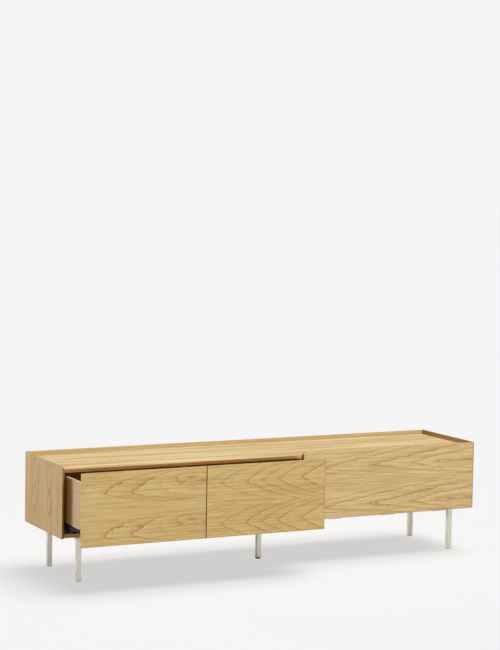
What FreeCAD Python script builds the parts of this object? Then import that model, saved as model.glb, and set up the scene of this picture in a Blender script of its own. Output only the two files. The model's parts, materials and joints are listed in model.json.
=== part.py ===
"""TV stand: oak casing with two drawers and a drop-down flap, on five metal legs.

Millimetres, +Z up, front towards -Y. The origin is on the floor under the centre leg,
in the middle of the casing's width. At rest both drawers are pulled out and the flap is shut.
"""
import FreeCAD, Part
import os
import re

import Sketcher

# Driving dimensions: alias, millimetres, meaning
DIMENSIONS = [
    ("casing_width", 1880, "over the side panels"),
    ("casing_depth", 410, "from the closed fronts to the back"),
    ("casing_height", 284, "from the underside to the rim"),
    ("leg_height", 181, "from the floor to the casing's underside"),
    ("panel", 16, "thickness of casing boards and fronts, and depth of their bevels"),
    ("front_space", 3, "between closed fronts and the casing's front edges"),
    ("front_joint", 3, "between neighbouring fronts"),
    ("mitre_gap", 2, "across the width, between a front's bevelled end and the side panel"),
    ("drawer_bay", 525.5, "from the side's outer face to the first joint, and on to the second"),
    ("rest_opening", 186, "how far both drawers are pulled out at rest"),
    ("box_board", 12, "thickness of the drawer box's boards"),
    ("box_lift", 58, "from the casing's underside to the drawer box"),
    ("box_top_space", 12, "between the drawer box and the top panel above it"),
    ("box_back_space", 28, "between the back of a shut drawer box and the back panel"),
    ("box_side_space", 6.5, "between the drawer box and the wall of its bay"),
    ("tray_board", 8, "thickness of the drawer's bottom"),
    ("tray_lift", 12, "from the box's lower edge to its bottom board"),
    ("groove_depth", 5, "groove in the box sides for the bottom board"),
    ("front_screw_inset", 50, "from the box's inner faces and edges to the front's screws"),
    ("runner_start", 5, "from the front's back face to the runner"),
    ("runner_width", 20, "over the runner"),
    ("runner_height", 26, "from the rail's floor to the drawer box"),
    ("runner_wall", 1.5, "sheet thickness of the runner"),
    ("runner_play", 0.3, "clearance between runner members"),
    ("rail_height", 14, "height of the casing rail's trough"),
    ("rail_flange", 14, "screw flange below the trough"),
    ("rail_screw_inset", 60, "from the rail's ends to its screws"),
    ("leg_side_inset", 87, "from the side's outer face to the leg's centre"),
    ("leg_edge_inset", 48, "from front or back plane to the leg's centre"),
    ("leg_section", 20, "square leg tube"),
    ("leg_wall", 1.5, "wall of the leg tubes"),
    ("leg_plate_side", 56, "square plate on top of a leg"),
    ("leg_plate_sheet", 3, "thickness of the leg plates"),
    ("leg_screw_pitch", 40, "between the screws of a leg plate"),
    ("leg_screw_bite", 11, "how deep the leg screws go into the board"),
    ("glide_height", 4, "glide below the tube"),
    ("glide_plug", 14, "plug of the glide inside the tube"),
    ("glide_fit", 0.2, "between the plug and the tube's wall"),
    ("centre_leg_forward", 28, "from the middle of the casing's depth forward to the centre leg"),
    ("round_leg_radius", 13, "centre leg"),
    ("collar_radius", 14, "collar of the levelling foot"),
    ("collar_height", 13, "height of the collar"),
    ("collar_taper", 3, "taper at the collar's lower edge"),
    ("pad_radius", 11, "black pad under the collar"),
    ("pad_height", 6, "height of the pad"),
    ("pad_bevel", 1.5, "bevel at the pad's lower edge"),
    ("stud_radius", 5, "threaded stud of the foot"),
    ("stud_length", 46, "from the pad up into the leg"),
    ("nut_length", 18, "nut in the lower end of the centre leg"),
    ("thread_play", 0.05, "radial clearance of stud, pins and pivots"),
    ("foot_seat", 0.3, "between collar and leg with the foot screwed in"),
    ("screw_radius", 1.75, "shank of the wood screws"),
    ("screw_head_radius", 3.5, "pan head and countersunk head"),
    ("screw_head_height", 2, "pan head"),
    ("screw_bite", 11, "how deep short screws go into a board"),
    ("drill_play", 0.1, "radial clearance of screws and dowels"),
    ("dowel_radius", 4, "casing dowels"),
    ("dowel_side_depth", 10, "dowel in the board that it stands on"),
    ("dowel_end_depth", 20, "dowel in the end of the other board"),
    ("dowel_inset", 55, "from the board's edges to the outer dowels"),
    ("hinge_length", 60, "butt hinge along the flap"),
    ("hinge_inset", 130, "from the flap's ends to the outer hinges"),
    ("knuckle_radius", 3, "hinge knuckle"),
    ("hinge_pin_radius", 1.5, "hinge pin"),
    ("knuckle_length", 20, "middle knuckle"),
    ("knuckle_play", 0.3, "between knuckles, and between a leaf and a knuckle"),
    ("leaf_gap", 0.2, "between the closed leaves"),
    ("leaf_height", 13, "leaf above the knuckle"),
    ("stay_reach", 170, "from the flap's axis to both ends of a shut stay"),
    ("stay_angle", 30, "degrees between these two at the axis, flap shut"),
    ("flap_swing", 90, "degrees that the flap opens"),
    ("stay_offset", 13.5, "from the flap's axis back to the arm's pivot"),
    ("arm_width", 13, "stay arm"),
    ("arm_sheet", 2.5, "thickness of the stay arm"),
    ("arm_play", 0.3, "side clearance of the arm"),
    ("arm_end", 6, "solid end of the arm past its slot"),
    ("slot_stud_radius", 3, "stud that runs in the arm's slot"),
    ("slot_stud_base", 4, "base of this stud, against the wall"),
    ("slot_stud_base_radius", 8, "radius of the base and of the stud's head"),
    ("slot_stud_head", 2, "head of this stud"),
    ("arm_pin_radius", 2.5, "pivot of the arm on its bracket"),
    ("arm_pin_head", 2, "head of this pivot"),
    ("bracket_sheet", 2.5, "bracket on the flap"),
    ("bracket_foot", 18, "foot of the bracket along the flap"),
    ("bracket_height", 30, "height of the bracket"),
    ("bracket_screw_pitch", 16, "between the screws of a bracket"),
    ("catch_width", 40, "magnetic catch"),
    ("catch_depth", 15, "magnetic catch"),
    ("catch_height", 12, "magnetic catch"),
    ("strike_width", 30, "strike plate on the flap"),
    ("strike_sheet", 2, "thickness of the strike plate"),
    ("grommet_bore", 27, "radius of the cable outlet"),
    ("grommet_wall", 3, "wall of the grommet"),
    ("grommet_flange", 6, "flange round the grommet"),
    ("grommet_lip", 2, "thickness of the flange"),
    ("bumper_radius", 4, "bumpers on the casing's lower front edge"),
    ("bumper_play", 0.3, "between a bumper and a closed front"),
    ("bumper_inset", 90, "from the bay's walls to its bumpers"),
]

# Places and lengths worked out from them
PLACES = {
    "outer_left": "-casing_width / 2",
    "outer_right": "casing_width / 2",
    "inner_left": "outer_left + panel",
    "inner_right": "outer_right - panel",
    "front_plane": "centre_leg_forward - casing_depth / 2",
    "back_plane": "centre_leg_forward + casing_depth / 2",
    "front_inside": "front_plane + panel",
    "edge_plane": "front_inside + front_space",
    "back_inside": "back_plane - panel",
    "underside": "leg_height",
    "bay_floor": "underside + panel",
    "rim": "underside + casing_height",
    "deck": "rim - panel",
    "bay_ceiling": "deck - panel",
    "first_joint": "outer_left + drawer_bay",
    "second_joint": "first_joint + drawer_bay",
    "open_front": "front_plane - rest_opening",
    "open_box": "open_front + panel",
    "box_bottom": "underside + box_lift",
    "box_top": "bay_ceiling - box_top_space",
    "box_length": "back_inside - front_inside - box_back_space",
    "runner_length": "box_length - runner_start",
    "rail_floor": "box_bottom - runner_height",
    "rail_middle": "front_inside + runner_start + runner_length / 2",
    "plate_bottom": "underside - leg_plate_sheet",
    "collar_top": "pad_height + collar_height",
    "tube_bottom": "collar_top + foot_seat",
    "axis_depth": "front_inside + front_space / 2",
    "axis_height": "underside - knuckle_radius",
    "flap_left": "second_joint + front_joint / 2",
    "flap_right": "outer_right - mitre_gap",
    "flap_bay_left": "second_joint + panel / 2",
    "leaf_sheet": "front_space / 2 - leaf_gap / 2",
    "leaf_bottom": "underside + knuckle_play",
    "arm_rise": "sqrt(stay_reach ^ 2 - stay_offset ^ 2)",
    "pivot_depth": "axis_depth + stay_offset",
    "pivot_height": "axis_height + arm_rise",
    "pivot_angle": "acos(stay_offset / stay_reach)",
    "stay_turn": "stay_angle * 1 deg",
    "slot_depth": "axis_depth + stay_reach * cos(pivot_angle - stay_turn)",
    "slot_height": "axis_height + stay_reach * sin(pivot_angle - stay_turn)",
    "reach_shut": "2 * stay_reach * sin(stay_turn / 2)",
    "reach_open": "2 * stay_reach * sin((stay_turn + flap_swing * 1 deg) / 2)",
    "arm_place": "slot_stud_base + arm_play",
    "grommet_radius": "grommet_bore + grommet_wall",
    "grommet_height": "(bay_floor + bay_ceiling) / 2",
    "grommet_place": "(flap_bay_left + inner_right) / 2",
}
ALIASES = {row[0] for row in DIMENSIONS}

doc = FreeCAD.newDocument("tv_stand")
sheet = doc.addObject("Spreadsheet::Sheet", "Dimensions")
for row, (alias, millimetres, meaning) in enumerate(DIMENSIONS, start=1):
    sheet.set(f"A{row}", meaning)
    sheet.set(f"B{row}", str(millimetres))
    sheet.setAlias(f"B{row}", alias)
doc.recompute()

nodes = []
TOWARDS = {
    "x": FreeCAD.Rotation(FreeCAD.Vector(0, 0, 1), FreeCAD.Vector(1, 0, 0)),
    "y": FreeCAD.Rotation(FreeCAD.Vector(0, 0, 1), FreeCAD.Vector(0, 1, 0)),
    "z": FreeCAD.Rotation(),
    "-x": FreeCAD.Rotation(FreeCAD.Vector(0, 0, 1), FreeCAD.Vector(-1, 0, 0)),
    "-y": FreeCAD.Rotation(FreeCAD.Vector(0, 0, 1), FreeCAD.Vector(0, -1, 0)),
}
HALF_TURN = FreeCAD.Rotation(FreeCAD.Vector(0, 0, 1), 180)
QUARTER_TURN = FreeCAD.Rotation(FreeCAD.Vector(0, 0, 1), -90)


def formula(text):
    """The expression on the sheet's cells for a text that uses aliases and places."""
    def word(match):
        name = match.group(0)
        if name in PLACES:
            return "(" + formula(PLACES[name]) + ")"
        return f"Dimensions.{name}" if name in ALIASES else name
    return re.sub(r"[a-z_]+", word, text)


def bind(item, **values):
    for name, text in values.items():
        item.setExpression(name.replace("__", "."), formula(text))


def place(item, x, y, z):
    bind(item, Placement__Base__x=x, Placement__Base__y=y, Placement__Base__z=z)


def node(name, item):
    """Names a finished piece, which gets a file of its own."""
    item.Label = name
    nodes.append(item)
    return item


def block(name, x, y, z):
    """A board between its low and high limit along each axis."""
    item = doc.addObject("Part::Box", name)
    bind(item, Length=f"({x[1]}) - ({x[0]})", Width=f"({y[1]}) - ({y[0]})", Height=f"({z[1]}) - ({z[0]})")
    place(item, x[0], y[0], z[0])
    return item


def rod(name, radius, length, start, towards):
    """A cylinder from its start, along one axis."""
    item = doc.addObject("Part::Cylinder", name)
    bind(item, Radius=radius, Height=length)
    item.Placement = FreeCAD.Placement(FreeCAD.Vector(), TOWARDS[towards])
    place(item, *start)
    return item


def taper(name, radius, end_radius, length, start, towards):
    """A cone's frustum from its start, along one axis."""
    item = doc.addObject("Part::Cone", name)
    bind(item, Radius1=radius, Radius2=end_radius, Height=length)
    item.Placement = FreeCAD.Placement(FreeCAD.Vector(), TOWARDS[towards])
    place(item, *start)
    return item


def joined(name, items):
    """Pieces melted into one where they touch; the others stay solids of their own."""
    item = doc.addObject("Part::MultiFuse", name)
    item.Shapes = items
    return item


def grouped(name, items):
    item = doc.addObject("Part::Compound", name)
    item.Links = items
    return item


def cut(name, base, tools):
    item = doc.addObject("Part::Cut", name)
    item.Base = base
    item.Tool = tools[0] if len(tools) == 1 else grouped(name + "_tools", tools)
    return item


def mitred(name, near, far, near_x, near_z, far_x, far_z):
    """A board whose two faces differ in size, so that its edges are bevelled."""
    item = doc.addObject("Part::Wedge", name)
    bind(item, Ymin=near, Ymax=far, Xmin=near_x[0], Xmax=near_x[1], Zmin=near_z[0], Zmax=near_z[1])
    bind(item, X2min=far_x[0], X2max=far_x[1], Z2min=far_z[0], Z2max=far_z[1])
    return item


def outline(body, plane, loops):
    """A sketch of closed loops; each corner is held by two distances from the sketch's origin."""
    sketch = body.newObject("Sketcher::SketchObject", body.Name + "_outline")
    sketch.AttachmentSupport = [(item, "") for item in body.Origin.OriginFeatures if item.Role == plane]
    sketch.MapMode = "FlatFace"
    for loop in loops:
        values = [[sheet.evalExpression(formula(text)) for text in corner] for corner in loop]
        corners = [FreeCAD.Vector(*pair, 0) for pair in values]
        first = sketch.GeometryCount
        count = len(corners)
        for index, corner in enumerate(corners):
            sketch.addGeometry(Part.LineSegment(corner, corners[(index + 1) % count]), False)
        for index in range(count):
            following = first + (index + 1) % count
            sketch.addConstraint(Sketcher.Constraint("Coincident", first + index, 2, following, 1))
        for index, corner in enumerate(corners):
            for kind, value, text in zip(("DistanceX", "DistanceY"), corner, loop[index]):
                held = sketch.addConstraint(Sketcher.Constraint(kind, -1, 1, first + index, 1, value))
                sketch.setExpression(f"Constraints[{held}]", formula(text))
    return sketch


def extruded(name, plane, loops, length):
    """A profile drawn out both ways from its plane."""
    body = doc.addObject("PartDesign::Body", name)
    pad = body.newObject("PartDesign::Pad", name + "_pad")
    pad.Profile = outline(body, plane, loops)
    pad.SideType = "Symmetric"
    bind(pad, Length=length)
    body.Tip = pad
    return body


def turned(name, loop):
    """A profile of radius and height turned about the upright axis."""
    body = doc.addObject("PartDesign::Body", name)
    sketch = outline(body, "XZ_Plane", [loop])
    turn = body.newObject("PartDesign::Revolution", name + "_turn")
    turn.Profile = sketch
    turn.ReferenceAxis = (sketch, ["V_Axis"])
    turn.Angle = 360
    body.Tip = turn
    return body


def pan_screw(name, seat, towards, through, bite):
    """A screw with its head on a plate's outer face, and the drill for plate and board."""
    start = list(seat)
    axis = "xyz".index(towards[-1])
    back = "+" if towards[0] == "-" else "-"
    start[axis] = f"({seat[axis]}) {back} screw_head_height"
    length = f"({through}) + ({bite})"
    shank = rod(name + "_shank", "screw_radius", length, seat, towards)
    head = rod(name + "_head", "screw_head_radius", "screw_head_height", start, towards)
    drill = rod(name + "_drill", "screw_radius + drill_play", length, seat, towards)
    return [shank, head], drill


def flush_screw(name, seat, towards, through, bite):
    """A countersunk screw whose head is level with the plate's outer face, and its drills."""
    pieces = []
    length = f"({through}) + ({bite})"
    for part, play in (("", "0"), ("_drill", "drill_play")):
        shank = rod(name + part + "_shank", f"screw_radius + {play}", length, seat, towards)
        sink = taper(name + part + "_sink", f"screw_head_radius + {play}", f"screw_radius + {play}",
                     through, seat, towards)
        pieces.append([shank, sink])
    return pieces


# Dowels of the casing, with the drills that they leave in the boards
DOWEL_DEPTHS = (
    "edge_plane + dowel_inset",
    "(edge_plane + back_inside) / 2",
    "back_inside - dowel_inset",
)
side_drills = {"left": [], "right": []}
deck_drills = {"top": [], "bottom": []}
partition_drills = {"left": [], "right": []}
dowels = []


def dowel(name, start, towards):
    length = "dowel_side_depth + dowel_end_depth"
    dowels.append(rod(name, "dowel_radius", length, start, towards))
    return rod(name + "_drill", "dowel_radius + drill_play", length, start, towards)


for deck_name, level in (("top", "deck - panel / 2"), ("bottom", "underside + panel / 2")):
    for side, start, towards in (
        ("left", "inner_left - dowel_side_depth", "x"),
        ("right", "inner_right + dowel_side_depth", "-x"),
    ):
        for number, depth in enumerate(DOWEL_DEPTHS):
            hole = dowel(f"{deck_name}_{side}_dowel_{number}", (start, depth, level), towards)
            side_drills[side].append(hole)
            deck_drills[deck_name].append(hole)
for side, joint in (("left", "first_joint"), ("right", "second_joint")):
    for deck_name, start in (
        ("top", "bay_ceiling - dowel_end_depth"),
        ("bottom", "bay_floor - dowel_side_depth"),
    ):
        for number, depth in enumerate((DOWEL_DEPTHS[0], DOWEL_DEPTHS[2])):
            hole = dowel(f"{side}_partition_{deck_name}_dowel_{number}", (joint, depth, start), "z")
            partition_drills[side].append(hole)
            deck_drills[deck_name].append(hole)
node("casing_dowels", grouped("dowel_group", dowels))

# Legs: plate, tube, glide or levelling foot, screwed under the bottom board
screws = []
plates = []
glides = []
leg_x = {"left": "outer_left + leg_side_inset", "right": "outer_right - leg_side_inset"}
leg_y = {"front": "front_plane + leg_edge_inset", "back": "back_plane - leg_edge_inset"}


def around(centre, width):
    return (f"{centre} - ({width}) / 2", f"{centre} + ({width}) / 2")


def leg_plate(name, x, y):
    """The plate on top of a leg and its screws; the bottom board gets the same drills."""
    plate = block(name, around(x, "leg_plate_side"), around(y, "leg_plate_side"),
                  ("plate_bottom", "underside"))
    drills = []
    for number, (right, back) in enumerate((("-", "-"), ("-", "+"), ("+", "-"), ("+", "+"))):
        seat = (f"{x} {right} leg_screw_pitch / 2", f"{y} {back} leg_screw_pitch / 2", "plate_bottom")
        pieces, drill = pan_screw(f"{name}_screw_{number}", seat, "z", "leg_plate_sheet", "leg_screw_bite")
        screws.extend(pieces)
        drills.append(drill)
    deck_drills["bottom"].extend(drills)
    return cut(name + "_drilled", plate, drills)


for end, y in leg_y.items():
    for side, x in leg_x.items():
        name = f"{end}_{side}_leg"
        outside = block(name + "_outside", around(x, "leg_section"), around(y, "leg_section"),
                        ("glide_height", "plate_bottom"))
        bore = "leg_section - 2 * leg_wall"
        inside = block(name + "_inside", around(x, bore), around(y, bore), ("glide_height", "plate_bottom"))
        node(name, cut(name + "_tube", outside, [inside]))
        plates.append(leg_plate(name + "_plate", x, y))
        plug = "leg_section - 2 * leg_wall - 2 * glide_fit"
        glides.append(block(name + "_glide", around(x, "leg_section"), around(y, "leg_section"),
                            ("0", "glide_height")))
        glides.append(block(name + "_plug", around(x, plug), around(y, plug),
                            ("glide_height", "glide_height + glide_plug")))
node("leg_glides", joined("glide_group", glides))

TUBE_BORE = "round_leg_radius - leg_wall"
plates.append(leg_plate("centre_leg_plate", "0", "0"))
node("leg_plates", grouped("plate_group", plates))
node("leg_screws", joined("leg_screw_group", screws))
TUBE_END = ("0", "0", "tube_bottom")
TUBE_LENGTH = "plate_bottom - tube_bottom"
round_outside = rod("round_outside", "round_leg_radius", TUBE_LENGTH, TUBE_END, "z")
round_inside = rod("round_inside", TUBE_BORE, TUBE_LENGTH, TUBE_END, "z")
node("centre_leg", cut("round_tube", round_outside, [round_inside]))
nut_plug = rod("nut_plug", TUBE_BORE, "nut_length", TUBE_END, "z")
nut_thread = rod("nut_thread", "stud_radius + thread_play", "nut_length", TUBE_END, "z")
node("centre_leg_nut", cut("nut", nut_plug, [nut_thread]))

# Levelling foot
node("foot_stud", rod("stud", "stud_radius", "stud_length", ("0", "0", "pad_height"), "z"))
node("foot_collar", turned("collar", [
    ("stud_radius", "pad_height"),
    ("pad_radius", "pad_height"),
    ("collar_radius", "pad_height + collar_taper"),
    ("collar_radius", "collar_top"),
    ("stud_radius", "collar_top"),
]))
node("foot_pad", turned("pad", [
    ("0", "0"),
    ("pad_radius - pad_bevel", "0"),
    ("pad_radius", "pad_bevel"),
    ("pad_radius", "pad_height"),
    ("0", "pad_height"),
]))

# Runners: a rail on each wall of a drawer's bay, a carriage in it, a slide under the drawer box
RAIL = [
    ("0", "-rail_flange"),
    ("runner_wall", "-rail_flange"),
    ("runner_wall", "0"),
    ("runner_width", "0"),
    ("runner_width", "rail_height"),
    ("runner_width - runner_wall", "rail_height"),
    ("runner_width - runner_wall", "runner_wall"),
    ("runner_wall", "runner_wall"),
    ("runner_wall", "rail_height"),
    ("0", "rail_height"),
]
SLIDE = [
    ("runner_play", "rail_height + runner_play"),
    ("runner_play + runner_wall", "rail_height + runner_play"),
    ("runner_play + runner_wall", "runner_height - runner_wall"),
    ("runner_width - runner_play - runner_wall", "runner_height - runner_wall"),
    ("runner_width - runner_play - runner_wall", "rail_height + runner_play"),
    ("runner_width - runner_play", "rail_height + runner_play"),
    ("runner_width - runner_play", "runner_height"),
    ("runner_play", "runner_height"),
]


def frame_loop(inset):
    """The carriage's rectangle, drawn in by an inset."""
    low_x = f"runner_wall + 2 * runner_play + {inset}"
    high_x = f"runner_width - runner_wall - 2 * runner_play - {inset}"
    low_z = f"runner_wall + runner_play + {inset}"
    high_z = f"runner_height - runner_wall - runner_play - {inset}"
    return [(low_x, low_z), (high_x, low_z), (high_x, high_z), (low_x, high_z)]


CARRIAGE = [frame_loop("0"), frame_loop("runner_wall")]
fitting_screws = []


def runner(drawer, side, wall):
    """Three members against one wall; returns the drills for the wall's board."""
    name = f"{drawer}_{side}"
    turn = TOWARDS["z"] if side == "left" else HALF_TURN
    towards = "-x" if side == "left" else "x"
    head_face = f"({wall}) + runner_wall" if side == "left" else f"({wall}) - runner_wall"
    drills = []
    for number, sign in enumerate(("-", "+")):
        along = f"rail_middle {sign} (runner_length / 2 - rail_screw_inset)"
        seat = (head_face, along, "rail_floor - rail_flange / 2")
        pieces, drill = pan_screw(f"{name}_rail_screw_{number}", seat, towards, "runner_wall", "screw_bite")
        fitting_screws.extend(pieces)
        drills.append(drill)
    members = (
        ("rail", [RAIL], "rail_middle"),
        ("carriage", CARRIAGE, "rail_middle - rest_opening / 2"),
        ("slide", [SLIDE], "rail_middle - rest_opening"),
    )
    for member, loops, along in members:
        body = extruded(f"{name}_{member}_bar", "XZ_Plane", loops, "runner_length")
        body.Placement = FreeCAD.Placement(FreeCAD.Vector(), turn)
        place(body, wall, along, "rail_floor")
        node(f"{name}_{member}", cut(f"{name}_{member}_drilled", body, drills) if member == "rail" else body)
    return drills


side_drills["left"] += runner("left_drawer", "left", "inner_left")
partition_drills["left"] += runner("left_drawer", "right", "first_joint - panel / 2")
partition_drills["left"] += runner("middle_drawer", "left", "first_joint + panel / 2")
partition_drills["right"] += runner("middle_drawer", "right", "second_joint - panel / 2")


# Drawers, pulled out by the rest opening
def drawer(name, bay, front):
    """Box of five boards behind a front; bay and front are limits across the width."""
    left = f"({bay[0]}) + box_side_space"
    right = f"({bay[1]}) - box_side_space"
    box_depth = ("open_box", "open_box + box_length")
    box_level = ("box_bottom", "box_top")
    inside = (f"{left} + box_board", f"{right} - box_board")
    tray_level = ("box_bottom + tray_lift", "box_bottom + tray_lift + tray_board")
    tray_x = (f"{inside[0]} - groove_depth", f"{inside[1]} + groove_depth")
    tray_y = ("open_box + box_board", "open_box + box_length")
    tray = block(name + "_tray", tray_x, tray_y, tray_level)
    node(name + "_bottom", tray)
    for side, limits in (("left", (left, inside[0])), ("right", (inside[1], right))):
        board = block(f"{name}_{side}_board", limits, box_depth, box_level)
        node(f"{name}_{side}_side", cut(f"{name}_{side}_grooved", board, [tray]))
    back_y = ("open_box + box_length - box_board", "open_box + box_length")
    back_z = ("box_bottom + tray_lift + tray_board", "box_top")
    node(name + "_back", block(name + "_back_board", inside, back_y, back_z))

    pieces = []
    drills = []
    for across in (f"{inside[0]} + front_screw_inset", f"{inside[1]} - front_screw_inset"):
        for level in ("box_bottom + front_screw_inset", "box_top - front_screw_inset"):
            seat = (across, "open_box + box_board", level)
            screw, drill = pan_screw(f"{name}_screw_{len(drills)}", seat, "-y", "box_board", "screw_bite")
            pieces.extend(screw)
            drills.append(drill)
    box_front = block(name + "_box_front_board", inside, ("open_box", "open_box + box_board"), box_level)
    node(name + "_box_front", cut(name + "_box_front_drilled", box_front, drills))
    board = mitred(name + "_front_board", "open_front", "open_box", front, ("underside", "rim"),
                   (f"{front[0]} + {front[2]}", front[1]), ("underside", "deck"))
    node(name + "_front", cut(name + "_front_drilled", board, drills))
    node(name + "_front_screws", joined(name + "_screw_group", pieces))


drawer("left_drawer", ("inner_left", "first_joint - panel / 2"),
       ("outer_left + mitre_gap", "first_joint - front_joint / 2", "panel"))
drawer("middle_drawer", ("first_joint + panel / 2", "second_joint - panel / 2"),
       ("first_joint + front_joint / 2", "second_joint - front_joint / 2", "0"))

# Flap hinges: leaves in the space behind the flap, knuckles under the casing's lower edge
flap_screws = []
flap_drills = []
leaves = {"casing": [], "flap": []}
pins = []
HINGE_STARTS = (
    "flap_left + hinge_inset",
    "(flap_left + flap_right - hinge_length) / 2",
    "flap_right - hinge_inset - hinge_length",
)
LEAF_DEPTH = {
    "casing": ("axis_depth + leaf_gap / 2", "edge_plane"),
    "flap": ("front_inside", "axis_depth - leaf_gap / 2"),
}
LEAF_SEAT = {"casing": LEAF_DEPTH["casing"][0], "flap": LEAF_DEPTH["flap"][1]}


def hinge(number, start):
    """One butt hinge: two leaves that share a pin, and their countersunk screws."""
    middle = around(f"{start} + hinge_length / 2", "knuckle_length")
    reaches = {
        "casing": ((start, middle[0]), (middle[1], f"{start} + hinge_length")),
        "flap": ((f"{middle[0]} + knuckle_play", f"{middle[1]} - knuckle_play"),),
    }
    axis = ("axis_depth", "axis_height")
    hole = rod(f"hinge_{number}_hole", "hinge_pin_radius + thread_play", "hinge_length", (start, *axis), "x")
    for kind, towards in (("casing", "y"), ("flap", "-y")):
        name = f"hinge_{number}_{kind}"
        pieces = [block(name + "_leaf", (start, f"{start} + hinge_length"), LEAF_DEPTH[kind],
                        ("leaf_bottom", "leaf_bottom + leaf_height"))]
        for reach, (low, high) in enumerate(reaches[kind]):
            length = f"({high}) - ({low})"
            pieces.append(rod(f"{name}_knuckle_{reach}", "knuckle_radius", length, (low, *axis), "x"))
            web_level = ("axis_height", "leaf_bottom")
            pieces.append(block(f"{name}_web_{reach}", (low, high), LEAF_DEPTH[kind], web_level))
        tools = [hole]
        ends = (f"{start} + knuckle_length / 2", f"{start} + hinge_length - knuckle_length / 2")
        for side, along in enumerate(ends):
            seat = (along, LEAF_SEAT[kind], "underside + panel / 2")
            screw, drill = flush_screw(f"{name}_screw_{side}", seat, towards, "leaf_sheet", "screw_bite")
            tools.extend(drill)
            if kind == "casing":
                fitting_screws.extend(screw)
                deck_drills["bottom"].append(drill[0])
            else:
                flap_screws.extend(screw)
                flap_drills.append(drill[0])
        leaves[kind].append(cut(name, joined(name + "_blank", pieces), tools))
    pins.append(rod(f"hinge_{number}_pin", "hinge_pin_radius", "hinge_length", (start, *axis), "x"))


for number, start in enumerate(HINGE_STARTS):
    hinge(number, start)
node("hinge_casing_leaves", grouped("casing_leaf_group", leaves["casing"]))
node("hinge_flap_leaves", grouped("flap_leaf_group", leaves["flap"]))
node("hinge_pins", grouped("hinge_pin_group", pins))
node("fitting_screws", joined("fitting_screw_group", fitting_screws))

# Stays: a slotted arm turns on a bracket of the flap and runs on a stud in the wall
studs = []
brackets = []
ARM_LENGTH = "reach_open + slot_stud_radius + arm_end"


def sorted_limits(inward, near, far):
    return (near, far) if inward == "+" else (far, near)


def stay(side, wall, inward, drills):
    """One stay against a wall; inward is the sign of the way into the bay."""
    towards = "x" if inward == "+" else "-x"

    def off(distance):
        return f"({wall}) {inward} ({distance})"

    at_slot = ("slot_depth", "slot_height")
    at_pivot = ("pivot_depth", "pivot_height")
    outward = "-" if inward == "+" else "+"
    bury = f"({wall}) {outward} screw_bite"
    stud_shank = "screw_bite + slot_stud_base + arm_sheet + 2 * arm_play + slot_stud_head"
    name = side + "_stay"
    studs.append(joined(name + "_stud", [
        rod(name + "_stud_shank", "slot_stud_radius", stud_shank, (bury, *at_slot), towards),
        rod(name + "_stud_base", "slot_stud_base_radius", "slot_stud_base", (wall, *at_slot), towards),
        rod(name + "_stud_head", "slot_stud_base_radius", "slot_stud_head",
            (off("slot_stud_base + arm_sheet + 2 * arm_play"), *at_slot), towards),
    ]))
    drills.append(rod(name + "_stud_drill", "slot_stud_radius + drill_play", "screw_bite",
                      (bury, *at_slot), towards))

    ear = "slot_stud_base + arm_sheet + 2 * arm_play"
    head_start = "slot_stud_base - arm_pin_head"
    pin_start = (off(head_start), *at_pivot)
    ear_x = sorted_limits(inward, off(ear), off(f"{ear} + bracket_sheet"))
    foot_x = sorted_limits(inward, off(ear), off(f"{ear} + bracket_foot"))
    bracket_z = around("pivot_height", "bracket_height")
    brackets.append(joined(name + "_bracket", [
        block(name + "_foot", foot_x, ("front_inside", "front_inside + bracket_sheet"), bracket_z),
        block(name + "_ear", ear_x, ("front_inside", "pivot_depth + arm_width / 2"), bracket_z),
        rod(name + "_pivot", "arm_pin_radius", f"{ear} - ({head_start})", pin_start, towards),
        rod(name + "_pivot_head", "arm_width / 2 - arm_play", "arm_pin_head", pin_start, towards),
    ]))
    for number, sign in enumerate(("-", "+")):
        seat = (off(f"{ear} + (bracket_sheet + bracket_foot) / 2"), "front_inside + bracket_sheet",
                f"pivot_height {sign} bracket_screw_pitch / 2")
        pieces, drill = pan_screw(f"{name}_screw_{number}", seat, "-y", "bracket_sheet", "screw_bite")
        flap_screws.extend(pieces)
        flap_drills.append(drill)
        brackets[-1] = cut(f"{name}_bracket_drilled_{number}", brackets[-1], [drill])

    blank = [
        block(name + "_bar", ("0", "arm_sheet"), ("0", ARM_LENGTH), around("0", "arm_width")),
        rod(name + "_eye", "arm_width / 2", "arm_sheet", ("0", "0", "0"), "x"),
        rod(name + "_tip", "arm_width / 2", "arm_sheet", ("0", ARM_LENGTH, "0"), "x"),
    ]
    slot_width = "2 * (slot_stud_radius + thread_play)"
    slot = [
        rod(name + "_eye_hole", "arm_pin_radius + thread_play", "arm_sheet", ("0", "0", "0"), "x"),
        block(name + "_slot", ("0", "arm_sheet"), ("reach_shut", "reach_open"), around("0", slot_width)),
        rod(name + "_slot_start", slot_width + " / 2", "arm_sheet", ("0", "reach_shut", "0"), "x"),
        rod(name + "_slot_end", slot_width + " / 2", "arm_sheet", ("0", "reach_open", "0"), "x"),
    ]
    arm = cut(name + "_arm_bar", joined(name + "_blank", blank), slot)
    low_face = off("arm_place") if inward == "+" else off("arm_place + arm_sheet")
    for letter, share in zip("xyz", "100"):
        arm.setExpression(f"Placement.Rotation.Axis.{letter}", share)
    bind(arm, Placement__Rotation__Angle="pivot_angle - 90 deg - stay_turn / 2")
    place(arm, low_face, *at_pivot)
    node(name + "_arm", arm)


stay("left", "flap_bay_left", "+", partition_drills["right"])
stay("right", "inner_right", "-", side_drills["right"])
node("stay_studs", grouped("stud_group", studs))
node("stay_brackets", grouped("bracket_group", brackets))
node("flap_screws", joined("flap_screw_group", flap_screws))

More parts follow.
